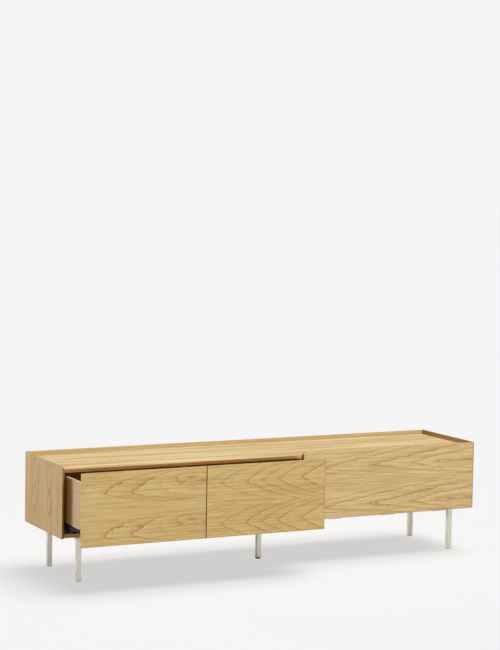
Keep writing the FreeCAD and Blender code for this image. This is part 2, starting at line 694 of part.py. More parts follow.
# Flap and its magnetic catch
flap = mitred("flap_board", "front_plane", "front_inside", ("flap_left", "flap_right"), ("underside", "rim"),
              ("flap_left", "flap_right - panel"), ("underside", "deck"))
node("flap", cut("flap_drilled", flap, flap_drills))
CATCH_PLACE = "(flap_left + flap_right) / 2"
CATCH_LEVEL = ("bay_ceiling - catch_height", "bay_ceiling")
CATCH_DEPTH = ("edge_plane", "edge_plane + catch_depth")
STRIKE_DEPTH = ("front_inside", "front_inside + strike_sheet")
node("magnetic_catch", block("catch_case", around(CATCH_PLACE, "catch_width"), CATCH_DEPTH, CATCH_LEVEL))
node("strike_plate", block("strike", around(CATCH_PLACE, "strike_width"), STRIKE_DEPTH, CATCH_LEVEL))

# Casing boards
for side, near, far in (("left", "outer_left", "inner_left"), ("right", "inner_right", "outer_right")):
    outer = (("-(back_plane)", "-(front_plane)"), ("underside", "rim"))
    inner = (("-(back_inside)", "-(front_inside)"), ("underside", "deck"))
    faces = (*outer, *inner) if side == "left" else (*inner, *outer)
    board = mitred(f"{side}_side_board", near, far, *faces)
    board.Placement = FreeCAD.Placement(FreeCAD.Vector(), QUARTER_TURN)
    node(f"{side}_side_panel", cut(f"{side}_side_drilled", board, side_drills[side]))
WIDTH_INSIDE = ("inner_left", "inner_right")
DEPTH_INSIDE = ("edge_plane", "back_inside")
BAY_LEVEL = ("bay_floor", "bay_ceiling")
top_board = block("top_board", WIDTH_INSIDE, DEPTH_INSIDE, ("bay_ceiling", "deck"))
node("top_panel", cut("top_drilled", top_board, deck_drills["top"]))
bottom_board = block("bottom_board", WIDTH_INSIDE, DEPTH_INSIDE, ("underside", "bay_floor"))
node("bottom_panel", cut("bottom_drilled", bottom_board, deck_drills["bottom"]))
for side, joint in (("left", "first_joint"), ("right", "second_joint")):
    board = block(f"{side}_partition_board", around(joint, "panel"), DEPTH_INSIDE, BAY_LEVEL)
    node(f"{side}_partition", cut(f"{side}_partition_drilled", board, partition_drills[side]))

# Back board with its cable grommet
back_board = mitred("back_board", "back_inside", "back_plane", WIDTH_INSIDE, ("underside", "deck"),
                    ("outer_left", "outer_right"), ("underside", "rim"))
outlet = ("grommet_place", "back_inside", "grommet_height")
outlet_hole = rod("outlet_hole", "grommet_radius", "panel", outlet, "y")
node("back_panel", cut("back_drilled", back_board, [outlet_hole]))
sleeve = rod("grommet_sleeve", "grommet_radius", "panel", outlet, "y")
flange_start = ("grommet_place", "back_inside - grommet_lip", "grommet_height")
flange = rod("grommet_rim", "grommet_radius + grommet_flange", "grommet_lip", flange_start, "y")
passage = rod("grommet_passage", "grommet_bore", "panel + grommet_lip", flange_start, "y")
node("cable_grommet", cut("grommet", joined("grommet_blank", [sleeve, flange]), [passage]))

# Bumpers on the front edge of the bottom board
bumpers = []
bays = (
    ("inner_left", "first_joint - panel / 2"),
    ("first_joint + panel / 2", "second_joint - panel / 2"),
    ("flap_bay_left", "inner_right"),
)
for low, high in bays:
    for across in (f"{low} + bumper_inset", f"{high} - bumper_inset"):
        start = (across, "edge_plane", "underside + panel / 2")
        length = "front_space - bumper_play"
        bumpers.append(rod(f"bumper_{len(bumpers)}", "bumper_radius", length, start, "-y"))
node("front_bumpers", grouped("bumper_group", bumpers))

doc.recompute()
for item in doc.Objects:
    if "Invalid" in item.State or "Error" in item.State:
        raise RuntimeError(f"{item.Name} failed: {item.State}")
for item in nodes:
    if item.Shape.isNull() or not item.Shape.isValid() or not item.Shape.Solids:
        raise RuntimeError(f"{item.Label} has no valid solid")

os.makedirs("parts", exist_ok=True)
for item in nodes:
    item.Shape.exportStep(f"parts/{item.Label}.step")
print(len(nodes), "pieces written")
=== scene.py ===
# %% [markdown]
# A low TV stand: an oak-veneered casing with two drawers and a drop-down flap, on slim
# painted legs. The exact sizes were drawn elsewhere and arrive as a fixed frame, so this
# lesson only adds what an eye notices: eased edges, grain, paint, steel and light.
# All lengths are metres, the front looks towards -Y, and Z is up.

# %% Load the frame
import json
import math

import bmesh
import bpy
from mathutils import Matrix, Vector

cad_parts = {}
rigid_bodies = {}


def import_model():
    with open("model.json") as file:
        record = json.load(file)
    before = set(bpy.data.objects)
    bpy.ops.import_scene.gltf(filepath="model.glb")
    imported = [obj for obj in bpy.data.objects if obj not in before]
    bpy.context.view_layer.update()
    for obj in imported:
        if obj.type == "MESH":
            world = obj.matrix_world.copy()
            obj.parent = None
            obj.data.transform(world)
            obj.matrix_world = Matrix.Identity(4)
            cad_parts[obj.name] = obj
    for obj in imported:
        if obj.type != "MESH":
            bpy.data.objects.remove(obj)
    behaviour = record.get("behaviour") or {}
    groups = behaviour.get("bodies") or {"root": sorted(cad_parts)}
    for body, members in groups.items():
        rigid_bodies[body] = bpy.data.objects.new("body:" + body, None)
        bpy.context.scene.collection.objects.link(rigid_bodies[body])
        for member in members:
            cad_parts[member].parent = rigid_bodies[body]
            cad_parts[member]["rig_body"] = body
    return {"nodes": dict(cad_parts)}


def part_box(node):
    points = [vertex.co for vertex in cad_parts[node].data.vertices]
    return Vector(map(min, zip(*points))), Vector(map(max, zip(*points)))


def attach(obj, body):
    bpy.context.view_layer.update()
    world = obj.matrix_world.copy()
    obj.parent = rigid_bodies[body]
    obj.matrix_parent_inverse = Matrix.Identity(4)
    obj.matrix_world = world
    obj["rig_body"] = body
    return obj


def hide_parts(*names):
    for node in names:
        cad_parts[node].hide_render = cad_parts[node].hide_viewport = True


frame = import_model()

SCENE = bpy.context.scene
NODES = frame["nodes"]
MM = 0.001
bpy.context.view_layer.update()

# %% [markdown]
# The camera stands to the left of the stand and a little above it, with a long lens, which
# keeps the casing's edges nearly parallel. Its focal length was measured in pixels, so it is
# turned into millimetres of the sensor, which spans the picture's long side. A turn, a tilt
# and a small roll give its direction.

# %% Camera
LONG_SIDE_PIXELS = 650
FOCAL_PIXELS = 1872.5
EYE = Vector((-3.527, -6.822, 1.597))
HEADING = math.radians(26.971)
DIP = math.radians(4.650)
ROLL = math.radians(0.991)
FAR_CLIP = 200


def added(name, data):
    """A new object in the scene."""
    made = bpy.data.objects.new(name, data)
    SCENE.collection.objects.link(made)
    return made


lens = bpy.data.cameras.new("camera")
lens.lens = FOCAL_PIXELS * lens.sensor_width / LONG_SIDE_PIXELS
lens.clip_end = FAR_CLIP
camera = added("camera", lens)
aim = Matrix.Rotation(-HEADING, 4, "Z") @ Matrix.Rotation(math.pi / 2 - DIP, 4, "X")
camera.matrix_world = Matrix.Translation(EYE) @ aim @ Matrix.Rotation(ROLL, 4, "Z")
SCENE.camera = camera
print("lens", round(lens.lens, 1), "mm")

# %% [markdown]
# Every finish below is a small sum of textures. Written node by node such a sum is hard to
# read, so one class wraps a socket: adding or multiplying two of them adds a Math node, and
# `node` adds any other shader node, with the values or links of its sockets and its settings.

# %% Shader sums as Python expressions
def operator(operation, swapped=False):
    """A method that puts a Math node between a wire and another value."""
    def apply(self, other):
        return self.math(operation, *((other, self) if swapped else (self, other)))
    return apply


class Wire:
    """An output socket that can be used in a sum."""

    __add__ = __radd__ = operator("ADD")
    __sub__ = operator("SUBTRACT")
    __rsub__ = operator("SUBTRACT", swapped=True)
    __mul__ = __rmul__ = operator("MULTIPLY")
    __truediv__ = operator("DIVIDE")
    __pow__ = operator("POWER")

    def __init__(self, tree, socket=None):
        self.tree = tree
        self.socket = socket

    def node(self, kind, inputs=None, settings=None, output=0):
        made = self.tree.nodes.new("ShaderNode" + kind)
        for name, value in (settings or {}).items():
            setattr(made, name, value)
        for name, value in (inputs or {}).items():
            if isinstance(value, Wire):
                self.tree.links.new(value.socket, made.inputs[name])
            else:
                made.inputs[name].default_value = value
        return Wire(self.tree, made.outputs[output]) if made.outputs else None

    def out(self, name):
        return Wire(self.tree, self.socket.node.outputs[name])

    def math(self, operation, *values):
        return self.node("Math", dict(enumerate(values)), {"operation": operation})


print("shader sums ready")

# %% [markdown]
# Three things come back in nearly every finish: two colours blended by a share, a step that
# rises smoothly from 0 to 1, and noise. The noise is told its cells per metre for each axis,
# because grain and rubbing marks are drawn out along one of them.

# %% Blends, steps and noise
def blend(share, first, second):
    """The first colour at share 0, the second at 1."""
    settings = {"data_type": "RGBA", "clamp_factor": True}
    return share.node("Mix", {0: share, 6: first, 7: second}, settings, output=2)


def between(value, low, high):
    """0 below low, 1 above high, and a smooth rise in between."""
    sockets = {"Value": value, "From Min": low, "From Max": high}
    return value.node("MapRange", sockets, {"interpolation_type": "SMOOTHSTEP"})


def speckle(place, stretch, detail):
    """Noise whose cells per metre along X, Y and Z are given."""
    cells = place.node("VectorMath", {0: place, 1: stretch}, {"operation": "MULTIPLY"})
    return place.node("TexNoise", {"Vector": cells, "Scale": 1.0, "Detail": detail})


def even(cells):
    """As many cells per metre along every axis."""
    return (cells, cells, cells)


print("even noise of", even(2.0), "cells per metre")

# %% [markdown]
# Colours are easiest to judge as they look on a screen, from 0 to 255. Blender adds up light,
# so it wants the linear value, which this small function works out. A finish is then one
# Principled shader: what varies over the surface is linked, what doesn't is set on the socket.

# %% Colours and finishes
PORE_DEPTH = 0.2 * MM
SKIN_DEPTH = 0.1 * MM


def tone(*screen):
    """A screen colour as linear red, green, blue and alpha."""
    shares = [value / 255 for value in screen]
    linear = [s / 12.92 if s <= 0.04045 else ((s + 0.055) / 1.055) ** 2.4 for s in shares]
    return (*linear, 1.0)


def first_wire(holder):
    """A start in the emptied node tree of a material or a world."""
    holder.use_nodes = True
    holder.node_tree.nodes.clear()
    return Wire(holder.node_tree)


def finish(name, paint, **fixed):
    """A material whose varying sockets come from a function of the place on the object."""
    material = bpy.data.materials.new(name)
    start = first_wire(material)
    sockets = {key.replace("_", " "): value for key, value in fixed.items()}
    sockets.update(paint(start.node("TexCoord", output="Object")))
    shader = start.node("BsdfPrincipled", sockets)
    start.node("OutputMaterial", {"Surface": shader})
    return material


def relief(height, strength, depth=PORE_DEPTH):
    """A bump of the surface, for the Normal socket."""
    return height.node("Bump", {"Height": height, "Strength": strength, "Distance": depth})


print("a middle grey sends back", round(tone(128, 128, 128)[0], 3), "of the light")

# %% [markdown]
# The studio is a white floor that runs into a white background. A camera ray that misses
# everything sees a flat near-white, and the same white is mixed into the floor, so that the
# two meet without a horizon while the floor still takes a soft grey shadow. For the light that
# the floor throws back at the stand it is a duller grey, which keeps the shaded sides dark.

# %% Floor and background
STUDIO_WHITE = tone(245, 245, 245)
FLOOR_SEEN = (0.876, 0.876, 0.876, 1.0)
FLOOR_BOUNCE = (0.42, 0.42, 0.42, 1.0)
FLOOR_HALF = 60.0
SHADOW_RELIEF = 0.61
DOME = 0.14


def seen_rays(start):
    """1 for camera, glossy and transmission rays, which should see the studio white."""
    path = start.node("LightPath", output="Is Camera Ray")
    several = path + path.out("Is Glossy Ray") + path.out("Is Transmission Ray")
    return several.math("MINIMUM", several, 1.0)


def meshed(name, shape, finishes):
    """An object made from a bmesh, which is used up."""
    mesh = bpy.data.meshes.new(name)
    shape.to_mesh(mesh)
    shape.free()
    for item in finishes:
        mesh.materials.append(item)
    return added(name, mesh)


world = bpy.data.worlds.new("studio")
air = first_wire(world)
dome = air.node("Background", {"Color": (1, 1, 1, 1), "Strength": DOME})
white = air.node("Background", {"Color": STUDIO_WHITE})
both = air.node("MixShader", {0: seen_rays(air), 1: dome, 2: white})
air.node("OutputWorld", {"Surface": both})
SCENE.world = world

floor_paint = bpy.data.materials.new("floor")
paper = first_wire(floor_paint)
seen = seen_rays(paper)
matt = paper.node("BsdfDiffuse", {"Color": blend(seen, FLOOR_BOUNCE, FLOOR_SEEN)})
glow = paper.node("Emission", {"Color": STUDIO_WHITE})
shown = paper.node("MixShader", {0: seen * SHADOW_RELIEF, 1: matt, 2: glow})
paper.node("OutputMaterial", {"Surface": shown})
ground = bmesh.new()
bmesh.ops.create_grid(ground, x_segments=1, y_segments=1, size=FLOOR_HALF)
floor = meshed("floor", ground, [floor_paint])
print("floor and background ready")

# %% [markdown]
# Three wide suns light everything evenly, so that a colour renders about as it is written. One
# hangs overhead, a little to the right, and casts the only shadow on the floor. One faces the
# fronts, and one comes from behind on the left, which brightens the left side and leaves the
# drawer's side dark where the casing stands in its way. These two shine level, past the floor.

# %% Lamps
def sun(name, towards, strength, spread):
    """A wide lamp that shines along a direction."""
    lamp = bpy.data.lights.new(name, "SUN")
    lamp.energy = strength
    lamp.angle = math.radians(spread)
    added(name, lamp).rotation_euler = Vector(towards).to_track_quat("-Z", "Y").to_euler()


sun("overhead", (-0.34, 0.0, -1.0), 2.7, 46)
sun("front_lamp", (-0.05, 1.0, 0.0), 3.46, 14)
sun("side_lamp", (0.40, -0.917, 0.0), 6.5, 16)
SCENE.view_settings.view_transform = "Standard"
print("lamps", [item.name for item in bpy.data.lights])

# %% [markdown]
# Oak veneer is sliced from a log in leaves about 160 mm wide, which are laid side by side, so
# the same flame figure repeats. A flame is a nest of pointed arches: on the heart line the
# growth rings are far apart, and away from it each ring falls back, first in a straight slope
# and then faster, until the lines run along the leaf. That fall is a short formula of the
# distance from the heart line, and a ramp numbers the rings so that each tip has its place.

# %% Oak figure
LEAF = 0.164
RINGS_BEFORE = 14


def leaf_place(axes, along, across, figure):
    """How far along the leaf a point is, how far from its heart line, and the leaf's number."""
    far = axes.out(along)
    shifted = axes.out(across) - figure["heart"] - far * figure["lean"]
    leaves = shifted / LEAF
    leaf = leaves.math("ROUND", leaves)
    return far, shifted - leaf * LEAF, leaf


def fall_back(away, slope, bend, reach):
    """How far a ring has fallen back at a distance from the heart line."""
    square = away * away
    return away * slope + square * away * bend / (1.0 + square * (1.0 / reach ** 2))


def ring_number(travel, figure):
    """A whole number at each tip, and evenly spaced rings before and after the tips."""
    if "tips" not in figure:
        return travel / figure["gap"]
    first = figure["tips"][0] - RINGS_BEFORE * figure["gap"]
    length = figure["tips"][-1] + figure["gap_after"] - first
    count = RINGS_BEFORE + len(figure["tips"])
    ramp = travel.node("ValToRGB", {"Fac": (travel - first) / length})
    stops = ramp.socket.node.color_ramp.elements
    for number, tip in enumerate(figure["tips"], RINGS_BEFORE):
        grey = number / count
        stops.new((tip - first) / length).color = (grey, grey, grey, 1.0)
    return ramp * count


print("leaf of", LEAF, "m")

# %% [markdown]
# Grown rings are never quite even: slow noise makes their lines sway, fine noise makes them
# ripple, and a bulge in the log closes some of them into an eye. Past a given point along the
# leaf the rings are flames, which are all drawn strongly.

# %% Growth rings
LEAF_STEP = 0.13
SWAY_CELLS = (2.6, 8.0, 1.0)
RIPPLE_CELLS = (26.0, 60.0, 1.0)
EYE_RIPPLE = 0.03
STRONG_RISE = 0.03


def growth_rings(far, off, leaf, figure):
    """Ring number, distance from the heart line, and 1 where the ring is one of the flames."""
    depth = leaf * LEAF_STEP + figure["seed"]
    spot = far.node("CombineXYZ", {"X": far, "Y": off, "Z": depth})
    sway = speckle(spot, SWAY_CELLS, 1.0) - 0.5
    ripple = speckle(spot, RIPPLE_CELLS, 2.0) - 0.5
    aside = off + sway * figure["wander"]
    above = aside.math("MAXIMUM", aside, 0.0)
    below = aside.math("MAXIMUM", aside * -1.0, 0.0)
    fall = fall_back(above, *figure["above"]) + fall_back(below, *figure["below"])
    travel = far * figure["drift"] - fall + sway * figure["sway"] + ripple * figure["ripple"]
    if "eye" in figure:
        place, height, half_length, half_width, rise = figure["eye"]
        lengthwise = (far - place) / half_length
        crosswise = (aside - height + ripple * EYE_RIPPLE) / half_width
        bulge = (lengthwise * lengthwise + crosswise * crosswise) * -1.0
        travel = travel + bulge.math("EXPONENT", bulge) * rise
    flamed = between(travel, figure["strong"] - STRONG_RISE, figure["strong"])
    return ring_number(travel, figure), above + below, flamed


print("leaves differ by", LEAF_STEP, "in the noise")

# %% [markdown]
# Fibres and pores are noise with few cells along the grain and many across it. Along its upper
# and near edges, which face the lamps, a board carries a painted highlight, and along its lower
# and far edges a browner painted shade. Both come from a point's distance to those edges.

# %% Grain and rims
# Colours and widths of the painted highlight and painted shade along the veneered boards' edges.
OAK_PAINTED_HIGHLIGHT = tone(234, 206, 152)
OAK_PAINTED_SHADE = tone(184, 132, 66)
PAINTED_HIGHLIGHT_WIDTH = 2.5 * MM
PAINTED_HIGHLIGHT_SHARE = 0.45
PAINTED_SHADE_WIDTH = 5.0 * MM
PAINTED_SHADE_SHARE = 0.55
RIM_FADE = 0.3


def grained(place, along, cells, detail):
    """Noise with few cells per metre along the grain and many across it."""
    return speckle(place, tuple(cells[axis != along] for axis in "XYZ"), detail)


def rimmed(colour, axes, node, thickness):
    """A board's colour with a painted highlight along its lit edges and painted shade along its shaded
    ones.
    """
    low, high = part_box(node)
    lit, shaded = [], []
    for number, axis in enumerate("XYZ"):
        if axis != thickness:
            gaps = [axes.out(axis) - low[number], high[number] - axes.out(axis)]
            lit.append(gaps.pop(1 if axis == "Z" else 0))
            shaded += gaps
    # painted highlight along the lit edges and painted shade along the shaded ones
    painted_highlight = 1.0 - between(axes.math("MINIMUM", *lit), RIM_FADE * PAINTED_HIGHLIGHT_WIDTH, PAINTED_HIGHLIGHT_WIDTH)
    painted_shade = 1.0 - between(axes.math("MINIMUM", *shaded), RIM_FADE * PAINTED_SHADE_WIDTH, PAINTED_SHADE_WIDTH)
    highlighted = blend(painted_highlight * PAINTED_HIGHLIGHT_SHARE, colour, OAK_PAINTED_HIGHLIGHT)
    return blend(painted_shade * PAINTED_SHADE_SHARE, highlighted, OAK_PAINTED_SHADE)


print("sanded edges", round(PAINTED_HIGHLIGHT_WIDTH / MM, 1), "mm, lacquered edges", round(PAINTED_SHADE_WIDTH / MM, 1), "mm")

# %% [markdown]
# Each growth ring starts with a row of open pores, so on a board it shows as a thin brown line
# that fades on one side, and no two rings are equally dark. Between the lines lies a fine
# fibre. Sunk pores a hair's breadth wide give the surface its bump and take some of its shine.

# %% Oak veneer
OAK_LIGHT = tone(216, 187, 128)
OAK_MIDDLE = tone(199, 168, 110)
OAK_LINE = tone(162, 109, 52)
OAK_PORE = tone(128, 85, 41)
DASH_CELLS = (34.0, 300.0)
FIBRE_CELLS = (5.0, 230.0)
PORE_CELLS = (55.0, 1500.0)
FLECK_CELLS = (20.0, 200.0)
BAND_CELLS = (1.1, 22.0)
FLANK = (0.02, 0.07)
MATT_SHINE = 0.08


def oak_look(node, thickness, along, figure, light, middle):
    """The painter of one veneered board."""
    across = next(axis for axis in "XYZ" if axis not in (thickness, along))

    def paint(place):
        axes = place.node("SeparateXYZ", {"Vector": place})
        rings, away, flamed = growth_rings(*leaf_place(axes, along, across, figure), figure)
        whole = rings.math("FLOOR", rings)
        chance = place.node("TexWhiteNoise", {"W": whole + figure["seed"]}, {"noise_dimensions": "1D"})
        weight = figure["faint"] + (1.0 - figure["faint"]) * chance * chance
        weight = weight + (1.0 - weight) * flamed
        phase = rings - whole
        crisp = phase ** figure["crisp"]
        flank = between(away, *FLANK)
        dashes = between(grained(place, along, DASH_CELLS, 2.0), 0.36, 0.58)
        line = (crisp + (phase ** 3.0 - crisp) * flank) * weight
        line = line * (0.5 + 0.5 * dashes) * (1.1 - 0.3 * flank)
        thin = rings * 3.0
        thin = (thin - thin.math("FLOOR", thin)) ** 3.0
        line = line.math("MINIMUM", line + thin * 0.28, 1.0)
        fibre = grained(place, along, FIBRE_CELLS, 4.0)
        pores = between(grained(place, along, PORE_CELLS, 1.0), 0.56, 0.72)
        flecks = between(grained(place, along, FLECK_CELLS, 2.0), 0.56, 0.70)
        bands = grained(place, along, BAND_CELLS, 2.0)
        share = between(fibre * (1.0 - figure["bands"]) + bands * figure["bands"], 0.40, 0.60)
        figured = blend(line * figure["contrast"], blend(share, light, middle), OAK_LINE)
        dark = pores * (0.12 + 0.5 * line) + flecks * figure["flecks"]
        return {
            # the board's colour gets the painted highlight and painted shade along its edges
            "Base Color": blend(dark, rimmed(figured, axes, node, thickness), OAK_PORE),
            "Roughness": 0.66 + 0.1 * pores + 0.08 * fibre,
            "Normal": relief(1.0 - pores * 0.7 - line * 0.3, 0.25),
        }
    return paint


def veneer(name, node, thickness, along, figure, light=OAK_LIGHT, middle=OAK_MIDDLE):
    look = oak_look(node, thickness, along, figure, light, middle)
    return finish(name, look, Specular_IOR_Level=MATT_SHINE)


print("pores of about", round(1 / PORE_CELLS[1] / MM, 1), "mm across the grain")

# %% [markdown]
# The boards' cut edges carry a solid oak lipping with straight grain that runs along the edge:
# browner than the faces, but painted paler on the top and bottom boards, whose edges lie in the
# shade, as painted light there. It is the same recipe without the flames. The drawer boxes are
# of solid oak: their sides carry a lacquer that shines where light grazes them, and their edges
# are painted paler, a painted highlight as on an edge that faces the light.

# %% Straight-grained wood
STREAK_CELLS = (3.0, 240.0)
FINE_PORE_CELLS = (60.0, 1700.0)


def straight_look(along, light, dark, pore_share):
    """The painter of wood whose grain runs along one axis."""
    def paint(place):
        streak = grained(place, along, STREAK_CELLS, 4.0)
        pores = between(grained(place, along, FINE_PORE_CELLS, 1.0), 0.55, 0.7)
        ground = blend(between(streak, 0.3, 0.7), light, dark)
        return {
            "Base Color": blend(pores * pore_share, ground, OAK_PORE),
            "Roughness": 0.66 + 0.1 * pores,
            "Normal": relief(1.0 - pores, 0.2),
        }
    return paint


def straight_wood(name, ways, light, dark, pore_share, shine=MATT_SHINE):
    """One finish for each way in which the grain runs."""
    finishes = {}
    for axis in ways:
        look = straight_look(axis, light, dark, pore_share)
        finishes[axis] = finish(name + "_" + axis.lower(), look, Specular_IOR_Level=shine)
    return finishes


LIPPING = straight_wood("oak_lipping", "XZ", tone(212, 164, 104), tone(178, 128, 74), 0.35)
# Painted light: a paler lipping for the top and bottom boards' edges, which lie in the shade.
LIPPING_PAINTED_LIGHTER = straight_wood("oak_lipping_painted_lighter", "X", tone(252, 200, 130), tone(236, 180, 110), 0.25)
END_GRAIN = straight_wood("oak_end_grain", "YZ", tone(172, 122, 70), tone(146, 98, 54), 0.45)
MITRE = straight_wood("oak_mitre", "X", tone(201, 168, 115), tone(182, 149, 98), 0.25)
BOX_SIDE = straight_wood("drawer_side", "Y", tone(184, 144, 76), tone(168, 128, 63), 0.2, shine=0.36)
BOX_WOOD = straight_wood("drawer_wood", "X", tone(214, 184, 137), tone(197, 164, 117), 0.2)
# Painted shade: the drawer backs are painted darker, for the dark inside of the casing.
BOX_BACK_PAINTED_SHADE = straight_wood("drawer_back_painted_shade", "X", tone(140, 118, 86), tone(126, 104, 73), 0.2)
# Painted highlight: the drawer boards' edges are painted paler, as an edge facing the light looks.
BOX_EDGE_PAINTED_HIGHLIGHT = straight_wood("drawer_edge_painted_highlight", "XY", tone(230, 194, 136), tone(212, 172, 114), 0.2)
print("straight-grained finishes", len(bpy.data.materials) - 1)

# %% [markdown]
# A board starts as a cube stretched between two corners. Its edges are eased by half a
# millimetre with sandpaper's two small facets, so that they catch the light. The finished mesh
# becomes an object that stands for a node of the frame and moves with the node's body.

# %% Planks and pieces
EASE = 0.5 * MM


def plank(low, high):
    shape = bmesh.new()
    bmesh.ops.create_cube(shape, size=1)
    bmesh.ops.scale(shape, vec=high - low, verts=shape.verts)
    bmesh.ops.translate(shape, vec=(low + high) / 2, verts=shape.verts)
    return shape


def ease(shape, width=EASE, edges=None, segments=2):
    bmesh.ops.bevel(shape, geom=edges or shape.edges[:], offset=width, offset_type="OFFSET",
                    affect="EDGES", segments=segments, profile=0.5, material=-1, clamp_overlap=True)


def body_of(node):
    return NODES[node]["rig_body"]


def make_piece(name, shape, node, finishes, round_angle=None):
    """An object that stands for a node and rides on its body."""
    made = meshed(name, shape, finishes)
    if round_angle:
        made.data.shade_smooth()
        made.data.set_sharp_from_angle(angle=math.radians(round_angle))
    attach(made, body_of(node))
    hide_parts(node)
    return made


print("edges eased by", EASE / MM, "mm")

# %% [markdown]
# Where a board meets its neighbour in a mitre, the corners of one face are pushed in by the
# board's thickness. Faces across the thickness get the veneer, the ends of the grain a darker
# wood where they show, and all others the lipping.

# %% Boards
FACING = 0.9
MITRED = 0.5
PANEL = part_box("top_panel")[1].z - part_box("top_panel")[0].z


def corner_verts(shape, middle, corner):
    """Vertices on one side of the middle, named like X- or Z+."""
    sides = [("XYZ".index(name[0]), 1 if name[1] == "+" else -1) for name in corner]
    return [v for v in shape.verts if all((v.co[axis] - middle[axis]) * sign > 0 for axis, sign in sides)]


def board(name, node, thickness, coats, mitres=(), along=None, shape=None):
    """A board in a node's place; coats are for faces, edges and the ends of the grain."""
    low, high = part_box(node)
    shape = shape or plank(low, high)
    middle = (low + high) / 2
    for corner, axis in mitres:
        push = Vector((0, 0, 0))
        sign = next(part[1] for part in corner if part[0] == axis)
        push["XYZ".index(axis)] = -PANEL if sign == "+" else PANEL
        bmesh.ops.translate(shape, vec=push, verts=corner_verts(shape, middle, corner))
    for face in shape.faces:
        if abs(face.normal["XYZ".index(thickness)]) > FACING:
            face.material_index = 0
        elif along and abs(face.normal["XYZ".index(along)]) > MITRED:
            face.material_index = 2
        else:
            face.material_index = 1
    ease(shape)
    return make_piece(name, shape, node, coats)


print("boards are", round(PANEL / MM, 1), "mm thick")

# %% [markdown]
# The fronts' flames lie on their side, with the tips to the left: broad on the left drawer,
# close together on the middle one and drawn out round a small eye on the flap. A figure says
# where the heart line runs, how the rings fall away above and below it (slope, bend, reach),
# where the tips stand, and the eye (place, height, half its length, half its width, rise).
# The rest says how much the lines wander and how strongly they are drawn.

# %% Fronts
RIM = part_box("flap")[1].z
FLAME = dict(lean=0.0, drift=1.0, faint=0.2, crisp=4.0, flecks=0.0)
FIGURES = {
    "left_front": dict(
        FLAME, heart=RIM - 0.083, above=(0.9, 480.0, 0.5), below=(3.2, 2800.0, 0.2),
        tips=(-0.93, -0.832, -0.724, -0.30), gap=0.15, gap_after=0.25,
        eye=(-0.487, 0.045, 0.083, 0.023, 0.50), strong=-0.87, faint=0.1, crisp=5.0,
        wander=0.010, sway=0.04, ripple=0.08, seed=3.7, contrast=0.66, bands=0.15,
    ),
    "middle_front": dict(
        FLAME, heart=RIM - 0.068, above=(1.6, 250.0, 0.2), below=(1.6, 220.0, 0.2),
        tips=(-0.345, -0.234, -0.166, -0.094, 0.008), gap=0.060, gap_after=0.2,
        strong=-0.37, crisp=6.0,
        wander=0.006, sway=0.025, ripple=0.035, seed=11.2, contrast=0.58, bands=0.15,
    ),
    "flap_front": dict(
        FLAME, heart=RIM - 0.072, above=(6.0, 150.0, 0.2), below=(7.5, 1500.0, 0.05),
        tips=(0.06, 0.215, 0.440, 0.643, 0.945), gap=0.10, gap_after=0.14,
        eye=(0.778, 0.0, 0.060, 0.020, 0.20), strong=0.03,
        wander=0.007, sway=0.07, ripple=0.10, seed=23.5, contrast=0.66, bands=0.12,
    ),
}
FRONTS = (
    ("left_front", "left_drawer_front", ((("Y+", "X-"), "X"), (("Y+", "Z+"), "Z"))),
    ("middle_front", "middle_drawer_front", ((("Y+", "Z+"), "Z"),)),
    ("flap_front", "flap", ((("Y+", "X+"), "X"), (("Y+", "Z+"), "Z"))),
)
FLAP_TONES = dict(light=tone(226, 199, 146), middle=tone(208, 178, 123))
for name, node, mitres in FRONTS:
    oak = veneer(name + "_oak", node, "Y", "X", FIGURES[name], **(FLAP_TONES if node == "flap" else {}))
    board(name + "_board", node, "Y", (oak, LIPPING["X"], END_GRAIN["Z"]), mitres, along="X")
print("fronts", [front[0] for front in FRONTS])

# %% [markdown]
# The casing is mitred all round its rim: the sides and the back rise past the recessed top,
# and their inner faces are cut back at 45 degrees. The top's grain is straight and runs along
# the casing, the sides' flames stand upright on their tips. Under its front edge the top has a
# low rebate, which draws a dark line above the fronts: its section is one face with six
# corners, extruded along the board.

# %% Casing boards
STRAIGHT = dict(
    FLAME, heart=0.075, lean=0.004, drift=0.03, above=(4.5, 0.0, 1.0), below=(4.5, 0.0, 1.0),
    gap=0.07, strong=9.0, wander=0.02, sway=0.06, ripple=0.03, seed=41.0, contrast=0.5, bands=0.6,
)
UPRIGHT = dict(
    FLAME, heart=-0.035, above=(4.0, 2000.0, 0.1), below=(1.2, 600.0, 0.2),
    tips=(0.252, 0.345, 0.445), gap=0.09, gap_after=0.09, strong=0.2, flecks=0.35,
    wander=0.012, sway=0.04, ripple=0.05, seed=57.0, contrast=0.8, bands=0.3,
)
SIDE_TONES = dict(light=tone(219, 187, 132), middle=tone(197, 160, 106))
TOP_TONES = dict(light=tone(236, 213, 164), middle=tone(203, 172, 117))
REBATE_TALL = 2.5 * MM
REBATE_DEEP = 18.0 * MM


def pull(shape, faces, way):
    """Extrudes faces and moves what has grown."""
    grown = bmesh.ops.extrude_face_region(shape, geom=faces)["geom"]
    moved = [item for item in grown if isinstance(item, bmesh.types.BMVert)]
    bmesh.ops.translate(shape, vec=way, verts=moved)


def rebated_plank(low, high):
    """A plank along X with a step cut out under its front edge."""
    shape = bmesh.new()
    back = low.y + REBATE_DEEP
    step = low.z + REBATE_TALL
    section = ((low.y, high.z), (high.y, high.z), (high.y, low.z),
               (back, low.z), (back, step), (low.y, step))
    end = shape.faces.new([shape.verts.new((low.x, y, z)) for y, z in section])
    pull(shape, [end], (high.x - low.x, 0, 0))
    bmesh.ops.recalc_face_normals(shape, faces=shape.faces)
    return shape


TOP_OAK = veneer("top_oak", "top_panel", "Z", "X", STRAIGHT, **TOP_TONES)
BOTTOM_OAK = veneer("bottom_oak", "bottom_panel", "Z", "X", STRAIGHT, **TOP_TONES)
